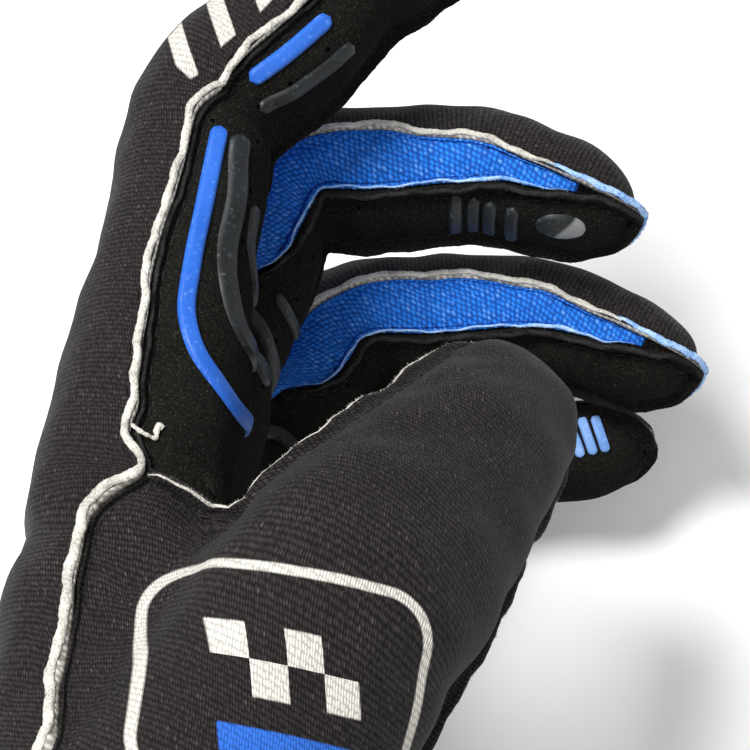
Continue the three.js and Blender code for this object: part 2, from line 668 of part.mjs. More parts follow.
// One band of a panel on one ray, between two decreasing angles. `fixed` holds rows whose
// points come from elsewhere.
function addBand(sheet, { ray, rows, angles, wall, right, left, fixed = new Map() }) {
  const outside = [];
  const inside = [];
  for (const row of rows) {
    if (fixed.has(row)) {
      outside.push(fixed.get(row).outer);
      inside.push(fixed.get(row).inner);
      continue;
    }
    const turns = angles(row);
    const last = turns.length - 1;
    const from = right(row);
    const to = left(row);
    const outer = [];
    const inner = [];
    turns.forEach((angle, c) => {
      if (c === 0 || row === 4 || c === last) {
        const edge = c === last ? to : from;
        outer.push(edge.foot);
        inner.push(edge.inner);
        return;
      }
      const point = skin(ray, angle, row).point.clone();
      point.addScaledVector(from.foot.clone().sub(from.point), (1 - c / last) ** 3);
      point.addScaledVector(to.foot.clone().sub(to.point), (c / last) ** 3);
      if (row === 0) point.y = CUFF_HEIGHT + GAP;
      const found = settle(point, ray.index, row === 0);
      outer.push(found.point);
      inner.push(found.point.clone().addScaledVector(found.normal, -wall));
    });
    outside.push(outer);
    inside.push(inner);
  }
  sheet.grid(outside);
  sheet.grid(inside, true);
  outside[0].forEach((point, c) => sheet.pair(point, inside[0][c]));
  return { outside, inside };
}

function addEdges(sheet, list, hand) {
  sheet.grid(list.map((edge) => [edge.outer, edge.top, edge.foot]), hand < 0);
  for (const edge of list) sheet.pair(edge.outer, edge.inner);
}

// Places that coincide where two stretches of a seam meet become one.
function joinSeams(...stretches) {
  const kept = [];
  for (const place of stretches.flat()) {
    const last = kept[kept.length - 1];
    if (last && place.point.distanceTo(last.point) < 1e-4) {
      last.also = [...(last.also ?? []), place.key];
    } else {
      kept.push(place);
    }
  }
  return kept;
}

// Edge of a band: the seam's place if there is one, otherwise the line shared with a neighbour.
function bandEdge(edges, ray, side, face, wall, row) {
  if (row === 4) return edges.get(`${ray.index} 1 4.0000`);
  const found = edges.get(`${ray.index} ${side} ${row.toFixed(4)}`);
  if (found && found.open > 0) return found;
  const pair = side > 0 ? ray.index - 1 : ray.index;
  const { point, normal } = sharedSkin(pair, face, row);
  return { point, foot: point, inner: point.clone().addScaledVector(normal, -wall) };
}

// Angle at a side of a ray's band: its seam where it has one, otherwise the shared line.
function edgeAngle(ray, side, face, row) {
  const pair = side > 0 ? ray.index - 1 : ray.index;
  const outermost = pair < 0 || pair > 3 || (ray.name === 'index' && side > 0 && face === 'back');
  if (outermost || row > splitRow(pair) || (pair === 0 && row === 1)) {
    return Math.abs(seamAngle(ray, side, face, row));
  }
  return sharedAngle(pair, face, side > 0 ? 'high' : 'low', row);
}

function backPanel() {
  const fingers = ['index', 'middle', 'ring'].flatMap((name, k) => [
    ...sideSeam(name, 1, 'back', k === 0 ? 0 : 2, 4), ...sideSeam(name, -1, 'back', 4, 2)]);
  const little = [...sideSeam('little', 1, 'back', 2, 4), ...sideSeam('little', -1, 'back', 4, 0)];
  const { edges, list } = makeEdges(joinSeams(fingers, little), 1, KNIT);
  const sheet = new Sheet();
  for (const ray of rays.slice(1)) {
    const edge = (side) => (row) => bandEdge(edges, ray, side, 'back', KNIT, row);
    const angles = (row) => spread(edgeAngle(ray, 1, 'back', row),
      -edgeAngle(ray, -1, 'back', row), COLUMNS.back);
    addBand(sheet, {
      ray, rows: rowsOf(ray, 0, 4), angles, wall: KNIT, right: edge(1), left: edge(-1),
    });
  }
  addEdges(sheet, list, 1);
  sheet.closeRim();
  return sheet.geometry();
}

// The fork's edge places as one row of a band on the index, from the deepest point up.
function forkRow(edges) {
  const row = [];
  for (let k = COLUMNS.sliver; k >= 0; k -= 1) row.push(edges.get(`fork ${k}`));
  return { outer: row.map((edge) => edge.foot), inner: row.map((edge) => edge.inner) };
}

function thumbPanel() {
  const places = joinSeams(sideSeam('index', 1, 'back', 0, 1), forkSeam(),
    sideSeam('thumb', -1, 'back', 1, 4), sideSeam('thumb', 1, 'back', 4, 0));
  const { edges, list } = makeEdges(places, -1, KNIT);
  const sheet = new Sheet();
  const [thumb, index] = rays;
  const edge = (ray, side) => (row) => bandEdge(edges, ray, side, 'back', KNIT, row);
  addBand(sheet, {
    ray: index, rows: rowsOf(index, 0, 1), wall: KNIT,
    angles: (row) => spread(sharedAngle(0, 'back', 'high', row), seamAngle(index, 1, 'back', row),
      COLUMNS.sliver),
    right: (row) => bandEdge(new Map(), index, 1, 'back', KNIT, row), left: edge(index, 1),
    fixed: new Map([[1, forkRow(edges)]]),
  });
  addBand(sheet, {
    ray: thumb, rows: rowsOf(thumb, 0, 4), wall: KNIT,
    angles: (row) => spread(edgeAngle(thumb, 1, 'back', row), -edgeAngle(thumb, -1, 'back', row),
      COLUMNS.thumbBack),
    right: edge(thumb, 1), left: edge(thumb, -1),
  });
  addEdges(sheet, list, -1);
  sheet.closeRim();
  return sheet.geometry();
}

function palmPanel() {
  const forkDown = forkSeam().reverse();
  const places = joinSeams(sideSeam('thumb', 1, 'palm', 0, 4), sideSeam('thumb', -1, 'palm', 4, 1),
    forkDown, sideSeam('index', 1, 'palm', 1, 4), sideSeam('index', -1, 'palm', 4, 2),
    sideSeam('middle', 1, 'palm', 2, 4), sideSeam('middle', -1, 'palm', 4, 2),
    sideSeam('ring', 1, 'palm', 2, 4), sideSeam('ring', -1, 'palm', 4, 2),
    sideSeam('little', 1, 'palm', 2, 4), sideSeam('little', -1, 'palm', 4, 0));
  // The suede's raw edge sinks away towards the bottom of the fork.
  for (const place of places) {
    for (const key of [place.key, ...(place.also ?? [])]) {
      if (key.startsWith('fork')) place.rise = 1 - Number(key.split(' ')[1]) / COLUMNS.sliver;
    }
  }
  const { edges, list } = makeEdges(places, -1, SUEDE);
  const sheet = new Sheet();
  const edge = (ray, side) => (row) => bandEdge(edges, ray, side, 'palm', SUEDE, row);
  for (const ray of rays.filter((item) => item.name !== 'index')) {
    const columns = ray.name === 'thumb' ? COLUMNS.thumbPalm : COLUMNS.palm;
    const angles = (row) => spread(360 - edgeAngle(ray, -1, 'palm', row),
      edgeAngle(ray, 1, 'palm', row), columns);
    addBand(sheet, { ray, rows: rowsOf(ray, 0, 4), angles, wall: SUEDE, right: edge(ray, -1),
      left: edge(ray, 1) });
  }
  const index = rays[1];
  const forkAngle = sharedAngle(0, 'palm', 'high', 1);
  const above = rowsOf(index, 1, 4);
  const fork = forkRow(edges);
  const wide = (row) => [
    ...spread(360 - edgeAngle(index, -1, 'palm', row), forkAngle, COLUMNS.palm),
    ...spread(forkAngle, seamAngle(index, 1, 'palm', row), COLUMNS.sliver).slice(1)];
  // The row through the fork: free columns as usual, then the fork's own edge.
  const start = addBand(new Sheet(), {
    ray: index, rows: [1], wall: SUEDE,
    angles: () => spread(360 - edgeAngle(index, -1, 'palm', 1), forkAngle, COLUMNS.palm),
    right: edge(index, -1), left: () => edges.get(`fork ${COLUMNS.sliver}`),
  });
  const forkFixed = { outer: [...start.outside[0], ...fork.outer.slice(1)],
    inner: [...start.inside[0], ...fork.inner.slice(1)] };
  addBand(sheet, { ray: index, rows: above, angles: wide, wall: SUEDE, right: edge(index, -1),
    left: edge(index, 1), fixed: new Map([[1, forkFixed]]) });
  addBand(sheet, {
    ray: index, rows: rowsOf(index, 0, 1), wall: SUEDE,
    angles: (row) => spread(360 - edgeAngle(index, -1, 'palm', row),
      sharedAngle(0, 'palm', 'high', row), COLUMNS.palm),
    right: edge(index, -1),
    left: (row) => bandEdge(new Map(), index, 1, 'palm', SUEDE, row),
    fixed: new Map([[1, { outer: start.outside[0], inner: start.inside[0] }]]),
  });
  addEdges(sheet, list, -1);
  sheet.closeRim();
  return sheet.geometry();
}

// A side strip runs down one finger, round the web and up the next.
function sideStrip(pair) {
  const low = rays[pair];
  const high = rays[pair + 1];
  const end = high.name === 'little' ? LITTLE_STRIP_END : STRIP_END;
  const border = (face, hand) => {
    const places = joinSeams(sideSeam(low.name, -1, face, STRIP_END, 2),
      sideSeam(high.name, 1, face, 2, end));
    const along = stationAt(low, low.web).along.add(stationAt(high, high.web).along).normalize();
    const web = places.findIndex((place) => place.also);
    for (const [k, place] of places.entries()) {
      const fromEnd = Math.min(k, places.length - 1 - k);
      place.open = k === web ? 0 : 1 + WEB_SPREAD / Math.abs(k - web) ** 2;
      place.rise *= Math.min(fromEnd / 2, 1);
    }
    places[web].point = places[web].point.clone().addScaledVector(along, WEB_GAP);
    return makeEdges(places, hand, MESH_CLOTH).list;
  };
  const back = border('back', -1);
  const palm = border('palm', 1);
  const stops = [...rowsOf(low, 2, STRIP_END).reverse().map((row) => ({ ray: low, side: -1, row })),
    ...rowsOf(high, 2, end).slice(1).map((row) => ({ ray: high, side: 1, row }))];
  const outside = [];
  const inside = [];
  stops.forEach(({ ray, side, row }, k) => {
    const from = seamAngle(ray, side, 'palm', row);
    const to = seamAngle(ray, side, 'back', row);
    const outer = [];
    const inner = [];
    for (let c = 0; c <= COLUMNS.strip; c += 1) {
      if (c === 0 || c === COLUMNS.strip) {
        const edge = c === 0 ? palm[k] : back[k];
        outer.push(edge.foot);
        inner.push(edge.inner);
        continue;
      }
      const angle = THREE.MathUtils.lerp(from, to, c / COLUMNS.strip);
      const found = skin(ray, angle, row);
      const other = row === 2 ? skin(high, -angle, row) : found;
      const point = found.point.clone().lerp(other.point, 0.5);
      const normal = found.normal.clone().add(other.normal).normalize();
      outer.push(point);
      inner.push(point.clone().addScaledVector(normal, -MESH_CLOTH));
    }
    outside.push(outer);
    inside.push(inner);
  });
  const sheet = new Sheet();
  sheet.grid(outside);
  sheet.grid(inside, true);
  for (const row of [0, outside.length - 1]) {
    outside[row].forEach((point, c) => sheet.pair(point, inside[row][c]));
  }
  addEdges(sheet, back, -1);
  addEdges(sheet, palm, 1);
  sheet.closeRim();
  return sheet.geometry();
}

// A plain band round the wrist opening.
function cuffBand() {
  const outside = [];
  const inside = [];
  for (let r = 0; r <= ROWS.cuff; r += 1) {
    const outer = [];
    const inner = [];
    for (let c = 0; c <= COLUMNS.cuff; c += 1) {
      const turn = 2 * Math.PI * (c % COLUMNS.cuff) / COLUMNS.cuff;
      const guess = vec(CUFF_REACH * Math.cos(turn), CUFF_HEIGHT * r / ROWS.cuff,
        CUFF_REACH * Math.sin(turn));
      const { point, normal } = settle(guess, 1, true);
      outer.push(point.clone().addScaledVector(normal, CUFF_PROUD));
      inner.push(point.clone().addScaledVector(normal, CUFF_PROUD - CUFF_WALL));
    }
    outside.push(outer);
    inside.push(inner);
  }
  const sheet = new Sheet();
  sheet.grid(outside);
  sheet.grid(inside, true);
  for (const row of [0, ROWS.cuff]) {
    outside[row].forEach((point, c) => sheet.pair(point, inside[row][c]));
  }
  sheet.closeRim();
  return sheet.geometry();
}

// A raised grip laid on a panel: a ribbon along a smooth path, dropped on the panel's faces.
function grip({ path, wide, oval }, panel) {
  const places = path.map(([name, angle, row]) => (
    skin(rays.find((ray) => ray.name === name), angle, row)));
  const curve = new THREE.CatmullRomCurve3(places.map((place) => place.point));
  const length = curve.getLength();
  const count = Math.ceil(length / GRIP_STEP);
  const caster = new THREE.Raycaster();
  const drop = (point, normal) => {
    caster.set(point.clone().addScaledVector(normal, GRIP_DROP), normal.clone().negate());
    const [hit] = caster.intersectObject(panel);
    return hit ? hit.point : point;
  };
  const rings = [];
  for (let k = 0; k <= count; k += 1) {
    const share = k / count;
    const place = curve.getUtoTmapping(share) * (places.length - 1);
    const low = Math.min(Math.floor(place), places.length - 2);
    const normal = places[low].normal.clone().lerp(places[low + 1].normal, place - low).normalize();
    const way = curve.getTangentAt(share);
    const across = normal.clone().cross(way).normalize();
    const fromEnd = oval ? 1 - Math.abs(2 * share - 1)
      : Math.min(1, (Math.min(share, 1 - share) * length) / (wide / 2));
    const half = wide / 2 * Math.max(Math.sqrt(1 - (1 - fromEnd) ** 2), GRIP_BLUNT);
    const centre = curve.getPointAt(share);
    const [left, middle, right] = [half, 0, -half].map((off) => (
      drop(centre.clone().addScaledVector(across, off), normal)));
    const ridge = middle.clone().sub(left.clone().lerp(right, 0.5)).dot(normal);
    const lift = GRIP_CLEAR + Math.max(ridge, 0);
    rings.push([right, left, left, right].map((corner, c) => (
      corner.clone().addScaledVector(normal, lift + (c > 1 ? 0 : GRIP_HEIGHT)))));
  }
  const sheet = new Sheet();
  sheet.grid(rings.map((ring) => [...ring, ring[0]]));
  const first = rings[0].map((corner) => sheet.add(corner));
  const last = rings[count].map((corner) => sheet.add(corner));
  sheet.face(first[0], first[1], first[2], false);
  sheet.face(first[0], first[2], first[3], false);
  sheet.face(last[0], last[2], last[1], false);
  sheet.face(last[0], last[3], last[2], false);
  return sheet.geometry();
}

const group = new THREE.Group();
const paint = (color, roughness) => new THREE.MeshStandardMaterial({ color, roughness, metalness: 0 });
function addMesh(name, geometry, material) {
  const mesh = new THREE.Mesh(geometry, material);
  mesh.name = name;
  group.add(mesh);
}
const knit = paint(0x2a2624, 0.85);
const suede = paint(0x131313, 0.95);
const blueMesh = paint(0x2a6fe0, 0.8);
addMesh('back_panel', backPanel(), knit);
addMesh('thumb_panel', thumbPanel(), knit);
addMesh('palm_panel', palmPanel(), suede);
addMesh('fourchette_index_middle', sideStrip(1), blueMesh);
addMesh('fourchette_middle_ring', sideStrip(2), blueMesh);
addMesh('fourchette_ring_little', sideStrip(3), blueMesh);
addMesh('cuff_band', cuffBand(), knit);
const silicone = paint(0x4a5052, 0.5);
const blueSilicone = paint(0x2f6ac4, 0.5);
const palm = group.getObjectByName('palm_panel');
for (const [name, shape] of Object.entries(GRIPS)) {
  const blue = name === 'palm_stripe_1' || name === 'index_stripe_blue';
  addMesh(name, grip(shape, palm), blue ? blueSilicone : silicone);
}

export default group;
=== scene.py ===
# Looks of a left-hand sim racing glove in its worn, gripping form. Lengths in the tables
# are millimetres, Blender's are metres. +Y runs from the wrist opening to the knuckles,
# +X is the palm side and +Z the thumb side.
from math import cos, pi, radians, sin

import bpy
import numpy as np
from mathutils import Matrix, Vector


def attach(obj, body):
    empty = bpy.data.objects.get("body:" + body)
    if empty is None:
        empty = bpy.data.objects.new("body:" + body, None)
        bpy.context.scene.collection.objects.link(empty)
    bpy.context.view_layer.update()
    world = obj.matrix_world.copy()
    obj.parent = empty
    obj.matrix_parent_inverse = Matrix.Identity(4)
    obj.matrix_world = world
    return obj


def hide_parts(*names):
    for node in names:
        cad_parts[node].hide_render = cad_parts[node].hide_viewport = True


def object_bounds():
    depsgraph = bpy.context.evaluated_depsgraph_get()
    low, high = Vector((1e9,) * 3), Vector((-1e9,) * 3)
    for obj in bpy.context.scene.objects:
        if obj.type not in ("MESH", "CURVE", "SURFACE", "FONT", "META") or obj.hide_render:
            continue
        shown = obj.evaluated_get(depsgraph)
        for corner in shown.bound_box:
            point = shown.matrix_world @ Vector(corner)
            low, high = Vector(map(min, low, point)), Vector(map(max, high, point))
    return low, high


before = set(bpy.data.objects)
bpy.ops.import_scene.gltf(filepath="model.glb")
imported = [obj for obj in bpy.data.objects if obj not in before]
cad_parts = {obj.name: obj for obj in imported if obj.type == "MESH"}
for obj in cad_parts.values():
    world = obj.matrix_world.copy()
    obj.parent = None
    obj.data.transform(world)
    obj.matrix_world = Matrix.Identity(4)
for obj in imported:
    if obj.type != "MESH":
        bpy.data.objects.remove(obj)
cad_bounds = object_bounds()

MM = 0.001

# Cloth and seams
KNIT = 1.2            # wall of the printed knit
SUEDE = 1.2           # wall of the palm suede
MESH_CLOTH = 1.1      # wall of the side strips
GAP = 0.3             # between neighbouring pieces
SEAM_HEIGHT = 1.8     # raw edge standing outside a seam
SEAM_WALL = 1.0       # thickness of one raw edge
SEAM_RISE = 14        # length over which a raw edge grows out of a web
CUFF_RISE = 8         # and out of the wrist band
WEB_OPENS = 3         # length over which a side strip parts the panels beyond a web
SHIFT_FADE = 12       # length beyond a web over which a finger's own section returns
CUFF_HEIGHT = 14
CUFF_WALL = 2.0
CUFF_PROUD = 0.5
CUFF_REACH = 30       # half width that surely lies outside the wrist
ROUNDNESS = 2.2       # exponent of every cross-section
BLEND = 11            # softness where two rays join
RAY_REACH = 45        # beyond this a ray has no say in the skin
STEP = 1              # spacing of the stations along a ray
RUN_IN = 20           # length of a ray behind the wrist
BEND_END = 8          # rounded end of a neighbour ray beyond a web
WEB_GAP = 1.2         # a side strip stands off the panels at a web
WEB_SPREAD = 3        # half gaps added to its own half just beside the web
INDEX_RISE = 0.5      # height of the suede's raw edge beside the index, as a share
THUMB_RISE = 0.4      # of the thumb panel's beside the back
BACK_RISE = 0.6       # of the back's beside a strip
STRIP_RISE = {"back": 0.3, "palm": 0.6}   # and of a strip's beside the panels
TIP_ROWS = (2.9, 3.6)   # rows over which the back's returns to its full height
HEM_RISE, HEM_HEIGHT = 0.25, 4.5          # of the turned hem at the wrist opening
FIN_NECK = (0.45, 0.4, 0.15)   # a raw edge's neck as shares of its foot, top and outer side
FIN_MIDDLE = (0.25, 0.75)      # and its middle as shares of foot and top
UNEVEN = ((0.05, 0.45, 0), (0.04, 1.1, 1), (0.02, 2.9, 0))   # waves of its height
BAND_SPACING = 40     # between the weave maps of neighbouring rays
SETTLED = 0.02        # a point whose last step was shorter has reached the skin
LONGEST_STEP = 3      # that a point takes towards the skin
MOST_STEPS = 5        # and how many it takes at most
SLOPE_STEP = 0.15     # over which the field's slope is measured
COARSE_STEP = 8       # stations between those that are tried first

# Threads. A thread is a row of rings with a wobbling radius.
THREAD_FLAT = 0.7     # height of its section against its width
THREAD_STEP = 0.28    # between its rings
THREAD_SHORTEST = 6   # places of the shortest one that is made
WIDE_EDGE, EDGE_RADIUS, THIN_EDGE = 0.66, 0.5, 0.25   # of the knit's white cut edge
BLUE_RADIUS, THIN_BLUE = 0.5, 0.18        # of the mesh's pale blue one
SUEDE_EDGE = 0.36                         # of the suede's
WHITE_END, LITTLE_WHITE_END = 3.12, 2.8   # rows where a finger's white edge ends
WHITE_FADE, BLUE_FADE = 0.06, 0.1         # rows over which it ends and the blue one begins
BLUE_ROWS = (2.7, 3.1)                    # rows over which a strip's blue edge thickens
LEAST_RADIUS, LEAST_RISE = 0.02, 0.05     # no thread where radius or raw edge is smaller
THREAD_END, THREAD_GROWTH = 0.35, 8       # share of its thickness at an end, places per share
THREAD_SLACK = (0.14, 0.08)               # waves of a thread to its sides
FIBRES, FIBRE_LENGTH, FIBRE_HALF = 9, 0.4, 0.03   # loose ones per mm, and half their width
FIBRE_LEAN, FIBRE_UP, FIBRE_SPREAD, FIBRE_ROOT = 0.9, 0.8, 0.5, 0.7   # how they stand
STITCH_INSET = 0.5    # of a row of stitches from the seam's foot
STITCH_RISE, STITCH_RADIUS, STITCH_SUNK = 0.12, 0.13, 0.4
STITCH_LENGTH, STITCH_PITCH, STITCH_STEP = 1.7, 2.6, 0.25

# Rows along and columns across each cloth
ROWS = {"wrist": 64, "palm": 34, "finger": 66, "thumb": 52, "end": 16, "cuff": 14}
COLUMNS = {"back": 28, "palm": 26, "sliver": 8, "thumb_back": 38, "thumb_palm": 30,
           "strip": 12, "cuff": 200}
STRIP_STEP = ROWS["finger"] / 12   # rows of a strip that make one step of its ends

# Each ray runs from the wrist over its knuckle to the fingertip. Its palm direction is
# square to the ray and lies nearest to `palm`. Stations count from the knuckle: fork of
# the thumb, web of the fingers, fingertip and the length of the rounded end.
RAYS = [
    {"name": "thumb", "root": (4, 0, 13), "knuckle": (34, 72, 37), "palm": (-0.45, 0, -0.89),
     "fork": 8, "web": 8, "tip": 55, "end": 12},
    {"name": "index", "root": (3, 0, 11), "knuckle": (5, 101, 30), "palm": (1, 0, 0),
     "fork": -14, "web": 23, "tip": 95, "end": 12},
    {"name": "middle", "root": (0, 0, 3), "knuckle": (3, 105, 9), "palm": (1, 0, 0),
     "fork": -18, "web": 22, "tip": 95.5, "end": 13},
    {"name": "ring", "root": (0, 0, -5), "knuckle": (7, 100.5, -12), "palm": (1, 0, 0),
     "fork": -15, "web": 24, "tip": 99.5, "end": 14},
    {"name": "little", "root": (2, 0, -12), "knuckle": (14, 94, -34), "palm": (1, 0, 0),
     "fork": -8, "web": 24, "tip": 82, "end": 11},
]

# Bends in degrees (at, reach, flex to the palm, splay to the thumb side). `at` is measured
# from the knuckle and `reach` is half the bend's length.
BENDS = {
    "thumb": [(0, 16, 36, 14), (32, 10, 6, 0)],
    "index": [(0, 16, -2, 0), (42, 9, 34, 0), (69, 9, 12, 0)],
    "middle": [(0, 16, 9, 2), (47, 11, 66, 0), (74, 9, 27, 0)],
    "ring": [(0, 16, 12, 5), (46, 11, 60, 0), (74, 9, 29, 0)],
    "little": [(0, 16, 10, 15), (37, 11, 44, 0), (58, 8, 20, 0)],
}

# Cross-sections (at, half width, half thickness to the back, to the palm)
GIRTHS = {
    "thumb": [(-82, 15, 17, 17), (-30, 17, 14, 16), (0, 15.8, 13, 13.5), (10, 15.2, 12, 12),
              (20, 13.8, 11.2, 11), (32, 11.9, 11, 10.5), (48, 10.2, 9.5, 10), (57, 9.2, 8, 9)],
    "index": [(-107, 17, 18, 18), (-50, 13, 10.5, 14), (0, 11.5, 11.4, 12.5), (22, 9.8, 10.2, 9.5),
              (42, 9.8, 10.4, 9.2), (54, 9.4, 10, 10), (69, 9.0, 9.2, 9.0), (95, 8.2, 6.8, 7.6)],
    "middle": [(-107, 17, 19, 19), (-50, 13, 13, 14), (0, 11.5, 12.5, 13), (22, 9.8, 10.2, 10.4),
               (47, 9.6, 9.0, 9.0), (60, 9.2, 8.4, 9.2), (74, 8.8, 7.9, 8.4), (96, 8.0, 4.7, 7.0)],
    "ring": [(-105, 17, 19, 19), (-50, 13, 13, 15), (0, 11.5, 12, 13), (22, 9.3, 10.0, 10.0),
             (46, 9.3, 9.6, 8.8), (60, 9.0, 9.0, 9.0), (74, 8.6, 8.1, 8.2), (100, 7.8, 4.7, 6.8)],
    "little": [(-98, 16, 18, 20), (-50, 13, 12, 15), (0, 11, 11, 12.5), (20, 8.4, 9.0, 9.2),
               (37, 8.5, 8.6, 7.8), (48, 8.2, 8.0, 8.0), (58, 7.8, 7.4, 7.4), (84, 7.2, 5.4, 6.6)],
}

# Angles of the lines that two neighbouring rays share (row, angle on the ray nearer the
# thumb, angle on the next one)
SHARED = {
    ("thumb", "back"): [(0, 40, 95), (0.6, 62, 105), (1, 92, 122)],
    ("thumb", "palm"): [(0, 245, 195), (0.5, 205, 162), (0.8, 145, 134), (1, 92, 122)],
    ("finger", "back"): [(0, 40, 40), (1, 55, 55), (2, 62, 62)],
    ("finger", "palm"): [(0, 140, 140), (1, 125, 125), (2, 120, 120)],
}
# Seams on a finger (share of its length from web to tip, angle towards the back, the palm)
FINGER_SEAMS = [(0, 62, 120), (0.15, 80, 130), (0.33, 87, 135), (0.5, 88, 138),
                (0.66, 99, 138), (0.82, 107, 131), (0.9, 110, 122), (0.96, 112, 112)]
LITTLE_SEAMS = [(0, 62, 120), (0.15, 76, 124), (0.4, 74, 112), (0.6, 68, 78), (0.67, 68, 68)]
# Seam beside the index and the thumb panel (row, angle)
INDEX_SEAM = [(0, 88), (0.5, 95), (0.7, 80), (0.92, 77), (1, 93), (1.12, 88), (1.25, 94),
              (1.5, 91), (1.75, 88), (2.2, 92), (2.3, 106), (2.6, 106), (3, 102), (4, 88)]
OUTER_SEAM = 92
THUMB_SEAM = {1: 98.0, -1: -92.0}
STRIP_END = 3 + 1 / 3
LITTLE_STRIP_END = 2.75

# Creases (ray, row, rise, angle, reach, width, depth)
FOLDS = [
    ("index", 0.9, 0.03, 15, 60, 5, 1.4), ("index", 0.7, -0.03, 5, 55, 5, 1.2),
    ("index", 2.31, 0, 150, 60, 4, 1.3), ("index", 2.77, 0, 175, 60, 4, 0.8),
    ("middle", 2.4, 0, 180, 75, 4, 1.3), ("middle", 1.9, 0, 180, 50, 4, 0.9),
    ("ring", 2.34, 0, 180, 75, 4, 1.3), ("ring", 1.9, 0, 180, 50, 4, 0.9),
    ("little", 2.27, 0, 180, 75, 4, 1.1), ("thumb", 2.69, 0, 180, 80, 4, 1.0),
    ("thumb", 0.86, 0.04, 20, 60, 5, 0.9),
]

# Grips on the suede as places (ray, angle, row)
GRIPS = {
    "palm_stripe_1": (2.3, [
        ("index", 110, 2.19), ("index", 110, 2.0), ("index", 109, 1.8), ("index", 110, 1.6),
        ("index", 121, 1.46), ("index", 146, 1.37), ("index", 170, 1.35), ("index", 200, 1.4),
        ("middle", 148, 1.58)]),
    "palm_stripe_2": (3.2, [
        ("index", 128, 2.19), ("index", 135, 2.05), ("index", 136, 1.88), ("index", 140, 1.74),
        ("index", 160, 1.6), ("index", 196, 1.62), ("middle", 136, 1.84), ("middle", 168, 1.84)]),
    "palm_stripe_3": (2.2, [
        ("index", 157, 2.06), ("index", 166, 1.94), ("index", 190, 1.84), ("middle", 134, 1.96),
        ("middle", 160, 1.93), ("middle", 195, 1.9), ("ring", 140, 1.92), ("ring", 168, 1.95)]),
    "palm_stripe_4": (1.6, [("middle", 140, 2.06), ("middle", 160, 2.05), ("middle", 184, 2.05)]),
    "index_stripe_blue": (2.3, [("index", 122, 2.35), ("index", 124, 2.47), ("index", 126, 2.6)]),
    "index_stripe_grey": (2.1, [("index", 148, 2.31), ("index", 154, 2.45), ("index", 160, 2.61)]),
    "middle_pad": (4.6, [("middle", 166, 3.1), ("middle", 165, 3.28), ("middle", 165, 3.46)]),
}
# Light bars on the little fingertip, which the solids leave out
TIP_BAR_WIDE, TIP_BAR_ANGLES = 1.5, (84, 104, 130)
TIP_BAR_ROW, TIP_BAR_STEP, TIP_BAR_TURN, TIP_BAR_SLANT = 2.97, 0.11, 3, 0.0022
FINGERTIP_BARS = {f"fingertip_bar_{k + 1}": (TIP_BAR_WIDE, [
    ("little", angle - TIP_BAR_TURN * k,
     TIP_BAR_ROW + TIP_BAR_STEP * k + (angle - TIP_BAR_ANGLES[0]) * TIP_BAR_SLANT)
    for angle in TIP_BAR_ANGLES]) for k in range(3)}
# Bars on the middle fingertip: each one starts at its own angle
BAR_ROW, BAR_STEP, BAR_END, BAR_WIDE = 2.79, 0.062, 204, 1.9
for number, start in enumerate((150, 154, 157, 157)):
    bar_row = BAR_ROW + number * BAR_STEP
    GRIPS[f"middle_bar_{number + 1}"] = (BAR_WIDE, [
        ("middle", angle, bar_row) for angle in (start, (start + BAR_END) / 2, BAR_END)])
GRIP_HEIGHT = 0.55
GRIP_LIFT = 0.02       # of its rim off the suede
GRIP_STEP, GRIP_RINGS, GRIP_COLUMNS = 0.5, 24, 9   # between rings, fewest rings, columns
GRIP_SQUARE, GRIP_POINT = 6, 0.0004                # how square its top and how blunt its end is
# Loose end of the white edge beside the fork, as places
LOOSE_END = [("index", 86, 1.15), ("index", 92, 1.125), ("index", 97, 1.122), ("index", 98.5, 1.15),
             ("index", 100, 1.172), ("index", 102, 1.165)]
LOOSE_RISE = 1.5       # it starts on top of the raw edges
LOOSE_RADIUS, LOOSE_RINGS = 0.32, 40
LOOSE_TAPER = (0.6, 1.1)   # its thickness at both ends, as a share


def smooth(x):
    return x * x * (3 - 2 * x)


def ramp(x, low, high):
    return smooth(np.clip((x - low) / (high - low), 0, 1))


def unit(v):
    return v / np.maximum(np.linalg.norm(v, axis=-1, keepdims=True), 1e-12)


def ripple(x, table, start=0):
    """Sum of sine waves (size, rate, phase) at x."""
    return sum((size * np.sin(x * rate + phase) for size, rate, phase in table), start)


def run_along(points):
    """Running length along a line of points."""
    return np.concatenate([[0], np.cumsum(np.linalg.norm(np.diff(points, axis=0), axis=1))])


def run_across(points):
    """Running length along each row of a grid of points."""
    across = np.linalg.norm(np.diff(points, axis=1), axis=2).cumsum(axis=1)
    return np.concatenate([np.zeros((len(points), 1)), across], 1)


def weave_map(across, along):
    return np.stack([across, np.repeat(along[:, None], across.shape[1], 1)], -1)


def lookup(table, column, x):
    """Value of a column of a table at x, eased between its rows."""
    rows = np.array(table, float)
    x = np.clip(x, rows[0, 0], rows[-1, 0])
    k = np.clip(np.searchsorted(rows[:, 0], x, side="right"), 1, len(rows) - 1)
    share = (x - rows[k - 1, 0]) / (rows[k, 0] - rows[k - 1, 0])
    return rows[k - 1, column] + (rows[k, column] - rows[k - 1, column]) * smooth(share)


def turned(v, axis, angle):
    return np.array(Matrix.Rotation(angle, 3, Vector(axis)) @ Vector(v))


